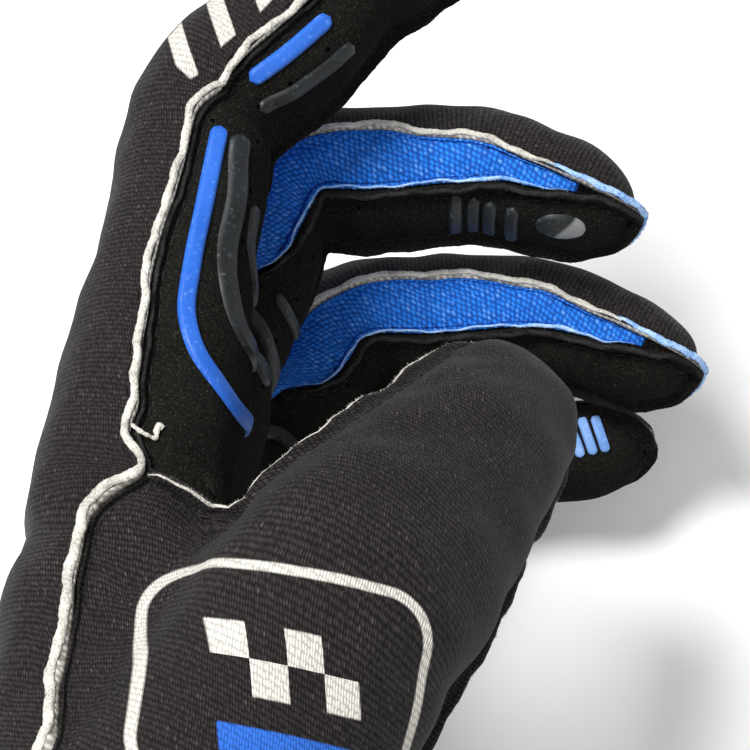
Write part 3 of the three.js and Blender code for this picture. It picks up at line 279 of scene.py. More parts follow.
class Ray:
    """A centre line of stations with a frame: along, side (to the thumb) and front (palm)."""

    def __init__(self, index):
        row = RAYS[index]
        self.index, self.name = index, row["name"]
        self.fork, self.web, self.tip, self.end = (row[k] for k in ("fork", "web", "tip", "end"))
        start, knuckle = np.array(row["root"], float), np.array(row["knuckle"], float)
        self.root = -np.linalg.norm(knuckle - start)
        self.first = self.root - RUN_IN
        along = unit(knuckle - start)
        side = unit(np.cross(np.array(row["palm"], float), along))
        front = np.cross(along, side)
        centre = start - along * RUN_IN
        stations = []
        for k in range(int(np.ceil((self.tip - self.first) / STEP)) + 1):
            at = self.first + k * STEP
            girth = [float(lookup(GIRTHS[self.name], c, at)) for c in (1, 2, 3)]
            stations.append([*centre, *along, *side, *front, *girth])
            centre = centre + along * STEP
            for middle, reach, flex, splay in BENDS[self.name]:
                off = (at + STEP / 2 - middle) / reach
                if abs(off) < 1:
                    share = radians(1) * STEP * (1 + cos(pi * off)) / (2 * reach)
                    along, front = turned(along, side, -flex * share), turned(front, side, -flex * share)
                    along, side = turned(along, front, splay * share), turned(side, front, splay * share)
        self.table = np.array(stations)
        self.rise = float(unit(knuckle - start)[1])

    def place(self, at):
        spot = np.clip((at - self.first) / STEP, 0, len(self.table) - 1.001)
        low = spot.astype(int)
        share = (spot - low)[..., None]
        return self.table[low] * (1 - share) + self.table[low + 1] * share


rays = [Ray(k) for k in range(len(RAYS))]
ray_named = {ray.name: ray for ray in rays}


def ray_distance(ray, points, stop, end):
    """Distance from the skin of a ray that ends in a rounded end of length `end` at `stop`."""
    last = min(round((stop - end - ray.first) / STEP), len(ray.table) - 1)
    centres = ray.table[:, :3]
    coarse = np.arange(0, last + 1, COARSE_STEP)
    gaps = ((points[:, None] - centres[coarse][None]) ** 2).sum(-1)
    close = gaps.min(1) < RAY_REACH ** 2
    if not close.all():
        distance = np.full(len(points), float(RAY_REACH))
        if close.any():
            distance[close] = ray_distance(ray, points[close], stop, end)
        return distance
    near = coarse[gaps.argmin(1)]
    window = np.clip(near[:, None] + np.arange(-COARSE_STEP, COARSE_STEP + 1), 0, last)
    gaps = ((points[:, None] - centres[window]) ** 2).sum(-1)
    near = window[np.arange(len(points)), gaps.argmin(1)]
    found = ray.table[near]
    forward = ((points - found[:, :3]) * found[:, 3:6]).sum(-1)
    at = np.minimum(ray.first + near * STEP + forward, ray.first + last * STEP)
    spot = ray.place(at)
    off = points - spot[:, :3]
    x = (off * spot[:, 6:9]).sum(-1)
    y = (off * spot[:, 9:12]).sum(-1)
    z = np.maximum(0, (off * spot[:, 3:6]).sum(-1))
    deep = np.where(y < 0, spot[:, 13], spot[:, 14])
    power = (np.abs(x / spot[:, 12]) ** ROUNDNESS + np.abs(y / deep) ** ROUNDNESS
             + (z / end) ** ROUNDNESS)
    scale = np.maximum(power ** (1 / ROUNDNESS), 1e-6)
    return np.sqrt(x * x + y * y + z * z) * (1 - 1 / scale)


folds = []


def fold_depth(points):
    depth = np.zeros(len(points))
    for starts, ends, wide, deep in folds:
        knots = np.concatenate([starts, ends])
        low, high = knots.min(0) - 3 * wide, knots.max(0) + 3 * wide
        near = ((points > low) & (points < high)).all(1)
        if not near.any():
            continue
        way = ends - starts
        off = points[near][:, None] - starts[None]
        share = np.clip((off * way).sum(-1) / (way * way).sum(-1), 0, 1)
        gap = np.sqrt((((off - share[..., None] * way) ** 2).sum(-1)).min(1))
        depth[near] += deep * np.exp(-((gap / wide) ** 2) * 2)
    return depth


# Slight unevenness of the worn cloth: waves (direction and wave number per mm, size)
WAVES = [((0.52, 0.31, -0.22), 0.10), ((-0.17, 0.58, 0.35), 0.10), ((0.34, -0.29, 0.61), 0.08),
         ((0.83, 0.52, 0.47), 0.05), ((-0.66, 0.91, -0.38), 0.05)]


def waves(points):
    total = np.zeros(len(points))
    for k, (way, size) in enumerate(WAVES):
        total += size * np.sin(points @ np.array(way) + 1.7 * k)
    return total


def field(points, own, creased=True):
    """How far points lie outside the skin, as seen from the ray that they belong to."""
    value = None
    for ray in rays:
        if ray.index == own:
            stop, end = ray.tip, ray.end
        else:
            fork = own == 0 or ray.index == 0
            stop, end = (ray.fork if fork else ray.web) + BEND_END, BEND_END
        distance = ray_distance(ray, points, stop, end)
        if value is None:
            value = distance
        else:
            near = np.maximum(BLEND - np.abs(value - distance), 0) / BLEND
            value = np.minimum(value, distance) - near * near * BLEND / 4
    if creased:
        value = value + fold_depth(points) + waves(points)
    return value


TETRAHEDRON = np.array([(1, -1, -1), (-1, -1, 1), (-1, 1, -1), (1, 1, 1)], float)


def slope(points, own, creased):
    """Slope of the field, from its values at the corners of a small tetrahedron."""
    around = (points[None] + TETRAHEDRON[:, None] * SLOPE_STEP).reshape(-1, 3)
    values = field(around, own, creased).reshape(4, -1)
    return values.T @ TETRAHEDRON / (4 * SLOPE_STEP)


def settle(points, own, flat=None, creased=True):
    """Moves points onto the skin, within their wrist plane where `flat`. Gives normals too."""
    points = np.array(points, float).reshape(-1, 3)
    flat = np.zeros(len(points), bool) if flat is None else np.broadcast_to(flat, len(points))
    normal = np.zeros_like(points)
    left = np.arange(len(points))
    for _ in range(MOST_STEPS):
        here = points[left]
        facing = slope(here, own, creased)
        facing[flat[left], 1] = 0
        square = np.maximum((facing * facing).sum(-1), 0.25)
        step = np.clip(field(here, own, creased) / square, -LONGEST_STEP, LONGEST_STEP)
        normal[left] = facing
        points[left] = here - facing * step[:, None]
        left = left[np.abs(step) > SETTLED]
        if len(left) == 0:
            break
    return points, unit(normal)


def settle_each(points, owners, flat=None):
    """Settles every point as its own ray sees it."""
    found, normals = np.array(points), np.zeros(points.shape)
    for index in np.unique(owners):
        mine = owners == index
        level = None if flat is None else flat[mine]
        found[mine], normals[mine] = settle(points[mine], index, level)
    return found, normals


def station_of(ray, row):
    """Rows run 0 at the wrist, 1 at the fork, 2 at the web, 3 where the end begins, 4 at the tip."""
    row = np.asarray(row, float)
    wrist = ray.root + (CUFF_HEIGHT + GAP) / ray.rise
    begin = ray.tip - ray.end
    low = wrist + (ray.fork - wrist) * row
    palm = ray.fork + (ray.web - ray.fork) * (row - 1)
    finger = ray.web + (begin - ray.web) * (row - 2)
    end = begin + ray.end * np.sin(np.clip(row - 3, 0, 1) * pi / 2)
    return np.where(row <= 1, low, np.where(row <= 2, palm, np.where(row <= 3, finger, end)))


def section_point(ray, angle, row):
    """Point of a ray's own section at an angle from the back, positive to the thumb side."""
    angle, row = np.broadcast_arrays(np.asarray(angle, float), np.asarray(row, float))
    at = station_of(ray, row)
    begin = ray.tip - ray.end
    spot = ray.place(np.minimum(at, begin))
    shrink = np.where(row > 3, np.cos(np.clip(row - 3, 0, 1) * pi / 2), 1)
    sine, cosine = np.sin(np.radians(angle)), np.cos(np.radians(angle))
    x = spot[..., 12] * np.sign(sine) * np.abs(sine) ** (2 / ROUNDNESS) * shrink
    deep = np.where(cosine > 0, spot[..., 13], spot[..., 14])
    y = -deep * np.sign(cosine) * np.abs(cosine) ** (2 / ROUNDNESS) * shrink
    beyond = np.where(row > 3, at - begin, 0)
    return (spot[..., :3] + spot[..., 6:9] * x[..., None] + spot[..., 9:12] * y[..., None]
            + spot[..., 3:6] * beyond[..., None])


def pair_beside(ray, side):
    """Number of the pair that a ray makes with its neighbour: -1 or 4 where it has none."""
    return ray.index - 1 if side > 0 else ray.index


def split_row(pair):
    """Row beyond which the two rays of a pair are apart."""
    return 1 if pair == 0 else 2


def shared_angle(pair, face, high, row):
    table = SHARED[("thumb" if pair == 0 else "finger", face)]
    return lookup(table, 2 if high else 1, np.minimum(row, split_row(pair)))


def edge_shift(ray, side, face, row):
    """Shift that brings a ray's edge to the line that it shares with a neighbour."""
    pair = pair_beside(ray, side)
    if not 0 <= pair <= 3:
        return np.zeros((*row.shape, 3)), np.full(row.shape, 90.0)
    limit = np.minimum(row, split_row(pair))
    low = section_point(rays[pair], -shared_angle(pair, face, False, limit), limit)
    high = section_point(rays[pair + 1], shared_angle(pair, face, True, limit), limit)
    shift = (low + high) / 2 - (high if side > 0 else low)
    beyond = station_of(ray, row) - station_of(ray, limit)
    return (shift * (1 - ramp(beyond, 0, SHIFT_FADE))[:, None],
            shared_angle(pair, face, side > 0, limit))


def guess_point(ray, angle, row):
    """First place of a skin point: a ray's own section, drawn to the lines shared with others."""
    angle, row = (np.array(v, float).ravel() for v in np.broadcast_arrays(angle, row))
    turn = np.mod(angle, 360)
    back_up, palm_up = edge_shift(ray, 1, "back", row), edge_shift(ray, 1, "palm", row)
    back_down, palm_down = edge_shift(ray, -1, "back", row), edge_shift(ray, -1, "palm", row)
    none = np.zeros((len(row), 3))
    middle = (palm_up[1] + 360 - palm_down[1]) / 2
    ats = np.stack([0 * row, back_up[1], palm_up[1], middle, 360 - palm_down[1],
                    360 - back_down[1], 0 * row + 360], 1)
    shifts = np.stack([none, back_up[0], palm_up[0], none, palm_down[0], back_down[0], none], 1)
    k = np.clip((ats < turn[:, None]).sum(1), 1, 6)
    every = np.arange(len(row))
    low, high = ats[every, k - 1], ats[every, k]
    share = np.clip((turn - low) / np.maximum(high - low, 1e-6), 0, 1)[:, None]
    before, after = shifts[every, k - 1], shifts[every, k]
    even = before * (1 - share) + after * share
    eased = before * (1 - share) ** 2 + after * share ** 2
    straight = ((k == 2) | (k == 5))[:, None]
    return section_point(ray, angle, row) + np.where(straight, even, eased)


def skin(ray, angle, row, creased=True):
    """Points and normals of the outside at angles from the back of a ray."""
    angle, row = (np.array(v, float).ravel() for v in np.broadcast_arrays(angle, row))
    guess = guess_point(ray, np.where(row == 4, 0, angle), row)
    wrist = row == 0
    along = ray.table[0, 3:6]
    guess[wrist] += along * ((CUFF_HEIGHT + GAP - guess[wrist, 1]) / along[1])[:, None]
    return settle(guess, ray.index, wrist, creased)


def skin_at(path):
    """Points and normals of the skin at places (ray, angle, row)."""
    found = [skin(ray_named[name], angle, row) for name, angle, row in path]
    return tuple(np.array([pair[k][0] for pair in found]) for k in (0, 1))


def shared_skin(pair, face, row):
    return skin(rays[pair], -shared_angle(pair, face, False, row), row)


# The creases' lines are laid on the smooth skin before any of them takes effect.
laid = []
for name, fold_row, rise, angle, reach, wide, deep in FOLDS:
    share = np.linspace(-1, 1, 7)
    line, _ = skin(ray_named[name], angle + share * reach, fold_row + share * rise, creased=False)
    laid.append((line[:-1], line[1:], wide, deep))
folds.extend(laid)


def rows_of(ray, low, high):
    finger = ray.index > 0
    parts = [(0, ROWS["wrist"])]
    if finger:
        parts.append((1, ROWS["palm"]))
    parts += [(2, ROWS["finger" if finger else "thumb"]), (3, ROWS["end"])]
    rows = np.unique(np.round(np.concatenate(
        [np.linspace(start, start + 1, count + 1) for start, count in parts]), 6))
    if not finger:
        rows = rows[rows != 2]
    return rows[(rows >= low - 1e-6) & (rows <= high + 1e-6)]


def seam_angle(ray, side, face, row):
    row = np.asarray(row, float)
    if ray.name == "index" and side > 0:
        return lookup(INDEX_SEAM, 1, row)
    if ray.name == "thumb":
        return np.full(row.shape, THUMB_SEAM[side])
    if ray.name == "little" and side < 0:
        return np.full(row.shape, -OUTER_SEAM)
    share = (station_of(ray, row) - ray.web) / (ray.tip - ray.web)
    table = LITTLE_SEAMS if ray.name == "little" else FINGER_SEAMS
    return side * lookup(table, 1 if face == "back" else 2, share)


def seam_key(ray, side, row):
    return ray.index, side, round(float(row), 5)


def side_seam(name, side, face, start, stop):
    """Places along a side of a ray, in the order of travel."""
    ray = ray_named[name]
    rows = rows_of(ray, min(start, stop), max(start, stop))
    if start > stop:
        rows = rows[::-1]
    pair = pair_beside(ray, side)
    strip = 0 < pair < 4
    points, normals = skin(ray, seam_angle(ray, side, face, rows), rows)
    if strip:
        web = rows == 2
        if web.any():
            points[web], normals[web] = shared_skin(pair, face, np.array([2.0]))
    at = station_of(ray, rows)
    opened = ramp(at - ray.web, 0, WEB_OPENS) if strip else np.ones(len(rows))
    rises = (ramp(at - ray.web, 1, SEAM_RISE) if strip
             else ramp(at - station_of(ray, 0), 0, CUFF_RISE))
    return [{"keys": [seam_key(ray, side, row)], "own": ray.index, "point": point,
             "normal": normal, "open": o, "rise": r, "flat": row == 0, "row": float(row)}
            for row, point, normal, o, r in zip(rows, points, normals, opened, rises)]


def fork_seam():
    """Places across the fork, from the index seam to the fork's deepest point."""
    ray = rays[1]
    start, end = seam_angle(ray, 1, "back", 1.0), shared_angle(0, "back", True, 1.0)
    points, normals = skin(ray, np.linspace(start, end, COLUMNS["sliver"] + 1), 1.0)
    points[-1], normals[-1] = (v[0] for v in shared_skin(0, "back", np.array([1.0])))
    return [{"keys": [("fork", k)], "own": 1, "point": point, "normal": normal, "open": 1.0,
             "rise": 1.0, "flat": False, "row": 1.0}
            for k, (point, normal) in enumerate(zip(points, normals))]


def join_seams(*stretches):
    kept = []
    for place in [p for stretch in stretches for p in stretch]:
        if kept and np.linalg.norm(place["point"] - kept[-1]["point"]) < 1e-3:
            kept[-1] = {**kept[-1], "keys": kept[-1]["keys"] + place["keys"]}
        else:
            kept.append(place)
    return kept


class Seam:
    """Raw edge of one piece along its places. hand is 1 where the piece lies on the left."""

    def __init__(self, places, hand, wall):
        self.places = places
        column = lambda key: np.array([place[key] for place in places])
        point, normal = column("point"), column("normal")
        opened, rise = column("open")[:, None], column("rise")[:, None]
        way = unit(np.diff(point, axis=0))
        before = np.vstack([way[:1], way])
        after = np.vstack([way, way[-1:]])
        first = unit(np.cross(normal, before)) * hand
        second = unit(np.cross(normal, after)) * hand
        inward = (first + second) / np.maximum(1 + (first * second).sum(-1), 0.5)[:, None]
        run = run_along(point)
        height = SEAM_HEIGHT * rise * ripple(run, UNEVEN, 1)[:, None]
        rim = point + inward * (GAP / 2 * opened)
        guess = rim + inward * SEAM_WALL * rise
        foot = point.copy()
        free = opened[:, 0] > 0
        foot[free], _ = settle_each(guess[free], column("own")[free], column("flat")[free])
        self.point, self.normal, self.inward, self.run, self.rise = point, normal, inward, run, rise
        self.foot, self.open = foot, opened[:, 0]
        self.outer = np.where(rise > 0, rim + normal * height, foot)
        self.top = np.where(rise > 0, self.outer + inward * SEAM_WALL * rise, foot)
        self.inner = rim - normal * wall
        self.key = {key: k for k, place in enumerate(places) for key in place["keys"]}

    def crest(self):
        return (self.outer + self.top) / 2


def new_piece(name, vertices, faces, materials):
    mesh = bpy.data.meshes.new(name)
    mesh.from_pydata(vertices, [], faces)
    for material in materials:
        mesh.materials.append(material)
    piece = bpy.data.objects.new(name, mesh)
    bpy.context.scene.collection.objects.link(piece)
    return piece


class Cloth:
    """Collects grids of points of one piece with a weave map in metres, then joins them."""

    def __init__(self):
        self.points, self.quads, self.maps, self.slots, self.count = [], [], [], [], 0

    def grid(self, points, weave, slot=0, flip=False):
        rows, columns = points.shape[:2]
        ids = np.arange(rows * columns).reshape(rows, columns) + self.count
        quads = np.stack([ids[:-1, :-1], ids[1:, :-1], ids[1:, 1:], ids[:-1, 1:]], -1).reshape(-1, 4)
        if flip:
            quads = quads[:, ::-1]
        self.points.append(points.reshape(-1, 3))
        self.maps.append(weave.reshape(-1, 2))
        self.quads.append(quads)
        self.slots.append(np.full(len(quads), slot))
        self.count += rows * columns

    def walls(self, outer, inner, weave, ends=(0, -1), flip=False):
        """Outside and inside of a cloth, and its cut ends at the first or the last row."""
        self.grid(outer, weave, flip=flip)
        self.grid(inner, weave, slot=1, flip=not flip)
        for row in ends:
            self.grid(np.stack([outer[row], inner[row]]), np.stack([weave[row]] * 2),
                      flip=(row == 0) != flip)

    def build(self, name, materials, prints=None):
        points = np.concatenate(self.points)
        weave = np.concatenate(self.maps) * MM
        quads = np.concatenate(self.quads)
        slots = np.concatenate(self.slots)
        _, first, joined = np.unique(np.round(points, 3), axis=0, return_index=True,
                                     return_inverse=True)
        joined = joined.ravel()
        vertices = points[first] * MM
        faces, corners, kept = [], [], []
        for quad, slot in zip(quads, slots):
            ids = joined[quad]
            use = [k for k in range(4) if ids[k] != ids[k - 1]]
            if len(use) < 3 or len(set(ids[use])) < len(use):
                continue
            faces.append(tuple(int(ids[k]) for k in use))
            corners.extend(int(quad[k]) for k in use)
            kept.append(slot)
        piece = new_piece(name, vertices.tolist(), faces, materials)
        mesh = piece.data
        mesh.uv_layers.new(name="weave").data.foreach_set("uv", weave[corners].ravel())
        if prints is not None:
            layer = mesh.uv_layers.new(name="print")
            layer.data.foreach_set("uv", prints(points)[corners].ravel())
        mesh.polygons.foreach_set("material_index", np.array(kept, np.int32))
        mesh.polygons.foreach_set("use_smooth", np.ones(len(faces), bool))
        mesh.update()
        return piece


def band_edge(seam, ray, side, face, wall, rows):
    """Edge of a band: the seam where there is one, otherwise the line shared with a neighbour."""
    pair = pair_beside(ray, side)
    point, foot, inner = (np.zeros((len(rows), 3)) for _ in range(3))
    if 0 <= pair <= 3:
        low = rows <= split_row(pair)
        found, normal = shared_skin(pair, face, rows[low])
        point[low], foot[low], inner[low] = found, found, found - normal * wall
    for k, row in enumerate(rows):
        place = seam.key.get(seam_key(ray, 1 if row == 4 else side, row)) if seam else None
        if place is not None and (seam.open[place] > 0 or row == 4):
            point[k], foot[k], inner[k] = seam.point[place], seam.foot[place], seam.inner[place]
    return point, foot, inner


def edge_angle(ray, side, face, rows):
    pair = pair_beside(ray, side)
    seam = np.abs(seam_angle(ray, side, face, rows))
    if not 0 <= pair <= 3 or (ray.name == "index" and side > 0 and face == "back"):
        return seam
    shared = shared_angle(pair, face, side > 0, rows)
    free = (rows > split_row(pair)) | ((pair == 0) & (rows == 1))
    return np.where(free, seam, shared)


def columns_between(start, end, count):
    share = np.linspace(0, 1, count + 1)
    return start[:, None] + (end - start)[:, None] * share[None]


def add_band(cloth, ray, rows, angles, wall, right, left, fixed=None):
    """One band of a panel on one ray. fixed holds the outer and inner points of a last row."""
    count = angles.shape[1]
    share = np.linspace(0, 1, count)
    flat = np.repeat(rows == 0, count)
    outer, _ = skin(ray, angles, rows[:, None])
    outer = outer.reshape(len(rows), count, 3)
    outer += (right[1] - right[0])[:, None] * ((1 - share) ** 3)[None, :, None]
    outer += (left[1] - left[0])[:, None] * (share ** 3)[None, :, None]
    outer[rows == 0, :, 1] = CUFF_HEIGHT + GAP
    outer, normal = settle(outer.reshape(-1, 3), ray.index, flat)
    inner = (outer - normal * wall).reshape(len(rows), count, 3)
    outer = outer.reshape(len(rows), count, 3)
    outer[:, 0], outer[:, -1] = right[1], left[1]
    inner[:, 0], inner[:, -1] = right[2], left[2]
    tip = rows == 4
    outer[tip], inner[tip] = right[1][tip][:, None], right[2][tip][:, None]
    if fixed is not None:
        place, fixed_outer, fixed_inner = fixed
        outer[place], inner[place] = fixed_outer, fixed_inner
    across = run_across(outer)
    across -= across[:, [count // 2]]
    weave = weave_map(across + BAND_SPACING * ray.index, station_of(ray, rows))
    cloth.walls(outer, inner, weave, ends=(0,))
    return outer, inner


def whole_band(cloth, seam, ray, face, wall, count):
    """Band between both sides of a ray, from the wrist to the tip."""
    rows = rows_of(ray, 0, 4)
    up, down = (edge_angle(ray, side, face, rows) for side in (1, -1))
    edges = [band_edge(seam, ray, side, face, wall, rows) for side in (1, -1)]
    if face == "back":
        add_band(cloth, ray, rows, columns_between(up, -down, count), wall, *edges)
    else:
        add_band(cloth, ray, rows, columns_between(360 - down, up, count), wall, *edges[::-1])


def add_raw_edge(cloth, seam, hand):
    """The standing edge beside a seam, with a small hollow at its foot, and its cut wall."""
    neck = seam.foot * FIN_NECK[0] + seam.top * FIN_NECK[1] + seam.outer * FIN_NECK[2]
    neck = np.where(seam.rise > 0, neck, seam.foot)
    middle = seam.top * FIN_MIDDLE[1] + seam.foot * FIN_MIDDLE[0]
    profile = np.stack([seam.outer, seam.top, middle, neck, seam.foot], 1)
    run = seam.run[:, None] + np.zeros(profile.shape[1])
    up = np.concatenate([[0], np.linalg.norm(np.diff(profile, axis=1), axis=2).mean(0).cumsum()])
    weave = np.stack([up[None] + np.zeros_like(run), run], -1)
    cloth.grid(profile, weave, flip=hand < 0)
    wall = np.stack([seam.inner, seam.outer], 1)
    cloth.grid(wall, weave[:, :2], slot=1, flip=hand < 0)


def beside_strip(own, side):
    return own in (2, 3) or (own == 1 and side < 0) or (own == 4 and side > 0)


def back_panel(materials):
    fingers = []
    for k, name in enumerate(("index", "middle", "ring")):
        fingers += side_seam(name, 1, "back", 0 if k == 0 else 2, 4)
        fingers += side_seam(name, -1, "back", 4, 2)
    little = side_seam("little", 1, "back", 2, 4) + side_seam("little", -1, "back", 4, 0)
    places = join_seams(fingers, little)
    # The raw edge stays low beside a strip and is at its full height round the fingertip.
    for place in places:
        ray_index, side, row = place["keys"][0]
        if beside_strip(ray_index, side):
            place["rise"] = place["rise"] * (BACK_RISE + (1 - BACK_RISE) * ramp(row, *TIP_ROWS))
    seam = Seam(places, 1, KNIT)
    cloth = Cloth()
    for ray in rays[1:]:
        whole_band(cloth, seam, ray, "back", KNIT, COLUMNS["back"])
    add_raw_edge(cloth, seam, 1)
    return cloth.build("back_panel_cloth", materials, finger_print), seam


def seam_side(seam, ray, rows):
    """Edge of a band that lies on the seam of the ray's thumb side all the way."""
    places = [seam.key[seam_key(ray, 1, row)] for row in rows]
    return seam.point[places], seam.foot[places], seam.inner[places]


def fork_row(seam):
    """The seam across the fork, from its deepest point to the index: its foot and inside."""
    places = [seam.key[("fork", k)] for k in range(COLUMNS["sliver"], -1, -1)]
    return seam.foot[places], seam.inner[places]


def thumb_panel(materials):
    beside_back = side_seam("index", 1, "back", 0, 1)
    for place in beside_back:
        place["rise"] = place["rise"] * THUMB_RISE
    seam = Seam(join_seams(beside_back, fork_seam(), side_seam("thumb", -1, "back", 1, 4),
                           side_seam("thumb", 1, "back", 4, 0)), -1, KNIT)
    cloth = Cloth()
    index = rays[1]
    rows = rows_of(index, 0, 1)
    angles = columns_between(shared_angle(0, "back", True, rows), seam_angle(index, 1, "back", rows),
                             COLUMNS["sliver"])
    outer, inner = fork_row(seam)
    add_band(cloth, index, rows, angles, KNIT, band_edge(None, index, 1, "back", KNIT, rows),
             seam_side(seam, index, rows), (-1, outer, inner))
    whole_band(cloth, seam, rays[0], "back", KNIT, COLUMNS["thumb_back"])
    add_raw_edge(cloth, seam, -1)
    return cloth.build("thumb_panel_cloth", materials, badge_print), seam


def seam_of_palm():
    stretches = [side_seam("thumb", 1, "palm", 0, 4), side_seam("thumb", -1, "palm", 4, 1),
                 fork_seam()[::-1], side_seam("index", 1, "palm", 1, 4),
                 side_seam("index", -1, "palm", 4, 2)]
    for name in ("middle", "ring"):
        stretches += [side_seam(name, 1, "palm", 2, 4), side_seam(name, -1, "palm", 4, 2)]
    stretches += [side_seam("little", 1, "palm", 2, 4), side_seam("little", -1, "palm", 4, 0)]
    places = join_seams(*stretches)
    # The suede's raw edge stays low beside the index and sinks away towards the fork's bottom.
    for place in places:
        if place["own"] == 1 and place["keys"][0][1] == 1:
            place["rise"] = place["rise"] * INDEX_RISE
        for key in place["keys"]:
            if key[0] == "fork":
                place["rise"] = INDEX_RISE * (1 - key[1] / COLUMNS["sliver"])
    return Seam(places, -1, SUEDE)


def index_palm(cloth, seam):
    """The suede on the index. Beyond the fork it is wider by the sliver beside the thumb panel."""
    index = rays[1]
    fork = float(shared_angle(0, "palm", True, 1.0))
    low = rows_of(index, 0, 1)
    angles = columns_between(360 - edge_angle(index, -1, "palm", low),
                             shared_angle(0, "palm", True, low), COLUMNS["palm"])
    left = band_edge(None, index, 1, "palm", SUEDE, low)
    outer_fork, inner_fork = fork_row(seam)
    left[0][-1] = seam.point[seam.key[("fork", COLUMNS["sliver"])]]
    left[1][-1], left[2][-1] = outer_fork[0], inner_fork[0]
    outer, inner = add_band(cloth, index, low, angles, SUEDE,
                            band_edge(seam, index, -1, "palm", SUEDE, low), left)
    high = rows_of(index, 1, 4)
    wide = columns_between(360 - edge_angle(index, -1, "palm", high), np.full(len(high), fork),
                           COLUMNS["palm"])
    narrow = columns_between(np.full(len(high), fork), seam_angle(index, 1, "palm", high),
                             COLUMNS["sliver"])
    angles = np.concatenate([wide, narrow[:, 1:]], 1)
    add_band(cloth, index, high, angles, SUEDE, band_edge(seam, index, -1, "palm", SUEDE, high),
             seam_side(seam, index, high), (0, np.concatenate([outer[-1], outer_fork[1:]]),
                                            np.concatenate([inner[-1], inner_fork[1:]])))


def palm_panel(materials):
    seam = seam_of_palm()
    cloth = Cloth()
    for ray in (rays[0], *rays[2:]):
        count = COLUMNS["thumb_palm" if ray.index == 0 else "palm"]
        whole_band(cloth, seam, ray, "palm", SUEDE, count)
    index_palm(cloth, seam)
    add_raw_edge(cloth, seam, -1)
    return cloth.build("palm_panel_suede", materials), seam


def strip_border(low, high, last, face, hand):
    """Seam of a strip, which parts from the panels round the web and sinks at both ends."""
    along = unit(low.place(np.array([low.web]))[0, 3:6] + high.place(np.array([high.web]))[0, 3:6])
    places = join_seams(side_seam(low.name, -1, face, STRIP_END, 2),
                        side_seam(high.name, 1, face, 2, last))
    web = next(k for k, place in enumerate(places) if len(place["keys"]) > 1)
    for k, place in enumerate(places):
        from_end = min(k, len(places) - 1 - k)
        steps = abs(k - web) / STRIP_STEP
        place["open"] = 0 if k == web else 1 + WEB_SPREAD / max(steps, 1) ** 2
        place["rise"] = place["rise"] * min(from_end / (2 * STRIP_STEP), 1) * STRIP_RISE[face]
    places[web]["point"] = places[web]["point"] + along * WEB_GAP
    return Seam(places, hand, MESH_CLOTH)


def strip_skin(low, high, last):
    """Outside of a strip and its normals, midway between both fingers at the web."""
    share = np.linspace(0, 1, COLUMNS["strip"] + 1)
    outer, normal = [], []
    for ray, side, rows in ((low, -1, rows_of(low, 2, STRIP_END)[::-1]),
                            (high, 1, rows_of(high, 2, last)[1:])):
        start, end = (seam_angle(ray, side, face, rows) for face in ("palm", "back"))
        found, facing = skin(ray, start[:, None] + (end - start)[:, None] * share, rows[:, None])
        outer.append(found.reshape(len(rows), -1, 3))
        normal.append(facing.reshape(len(rows), -1, 3))
    start, end = (float(seam_angle(high, 1, face, 2.0)) for face in ("palm", "back"))
    other, facing = skin(high, start + (end - start) * share, 2.0)
    outer[0][-1] = (outer[0][-1] + other) / 2
    normal[0][-1] = unit(normal[0][-1] + facing)
    return np.concatenate(outer), np.concatenate(normal)


def side_strip(pair, name, materials):
    """A strip runs down one finger, round the web and up the next."""
    low, high = rays[pair], rays[pair + 1]
    last = LITTLE_STRIP_END if high.name == "little" else STRIP_END
    back = strip_border(low, high, last, "back", -1)
    palm = strip_border(low, high, last, "palm", 1)
    outer, normal = strip_skin(low, high, last)
    outer[:, 0], outer[:, -1] = palm.foot, back.foot
    inner = outer - normal * MESH_CLOTH
    inner[:, 0], inner[:, -1] = palm.inner, back.inner
    cloth = Cloth()
    cloth.walls(outer, inner, weave_map(run_across(outer), (palm.run + back.run) / 2))
    add_raw_edge(cloth, back, -1)
    add_raw_edge(cloth, palm, 1)
    return cloth.build(name, materials), palm


def cuff_band(materials):
    """A plain band round the wrist opening, with a turned hem."""
    turns = np.linspace(0, 2 * pi, COLUMNS["cuff"] + 1)
    heights = np.linspace(0, CUFF_HEIGHT, ROWS["cuff"] + 1)
    guess = np.stack(np.broadcast_arrays(CUFF_REACH * np.cos(turns)[None], heights[:, None],
                                         CUFF_REACH * np.sin(turns)[None]), -1)
    point, normal = settle(guess.reshape(-1, 3), 1, True)
    for _ in range(2):
        point, normal = settle(point, 1, True)
    point, normal = point.reshape(guess.shape), normal.reshape(guess.shape)
    point[:, -1], normal[:, -1] = point[:, 0], normal[:, 0]
    hem = HEM_RISE * np.sin(np.clip(heights / HEM_HEIGHT, 0, 1) * pi)[:, None, None]
    outer = point + normal * (CUFF_PROUD + hem)
    inner = point + normal * (CUFF_PROUD - CUFF_WALL)
    cloth = Cloth()
    cloth.walls(outer, inner, weave_map(run_across(point), heights), flip=True)
    return cloth.build("cuff_band_cloth", materials)


def smooth_path(points, count):
    """Points spread evenly along a Catmull-Rom curve, with the share of the way of each."""
    knots = np.vstack([2 * points[0] - points[1], points, 2 * points[-1] - points[-2]])
    fine = []
    for k in range(len(points) - 1):
        a, b, c, d = knots[k:k + 4]
        t = np.linspace(0, 1, 40, endpoint=k == len(points) - 2)[:, None]
        fine.append(0.5 * (2 * b + (c - a) * t + (2 * a - 5 * b + 4 * c - d) * t ** 2
                           + (3 * b - a - 3 * c + d) * t ** 3))
    fine = np.concatenate(fine)
    run = run_along(fine)
    even = np.linspace(0, run[-1], count)
    place = np.interp(even, run, np.linspace(0, len(points) - 1, len(fine)))
    return np.stack([np.interp(even, run, fine[:, c]) for c in range(3)], 1), place, run[-1]


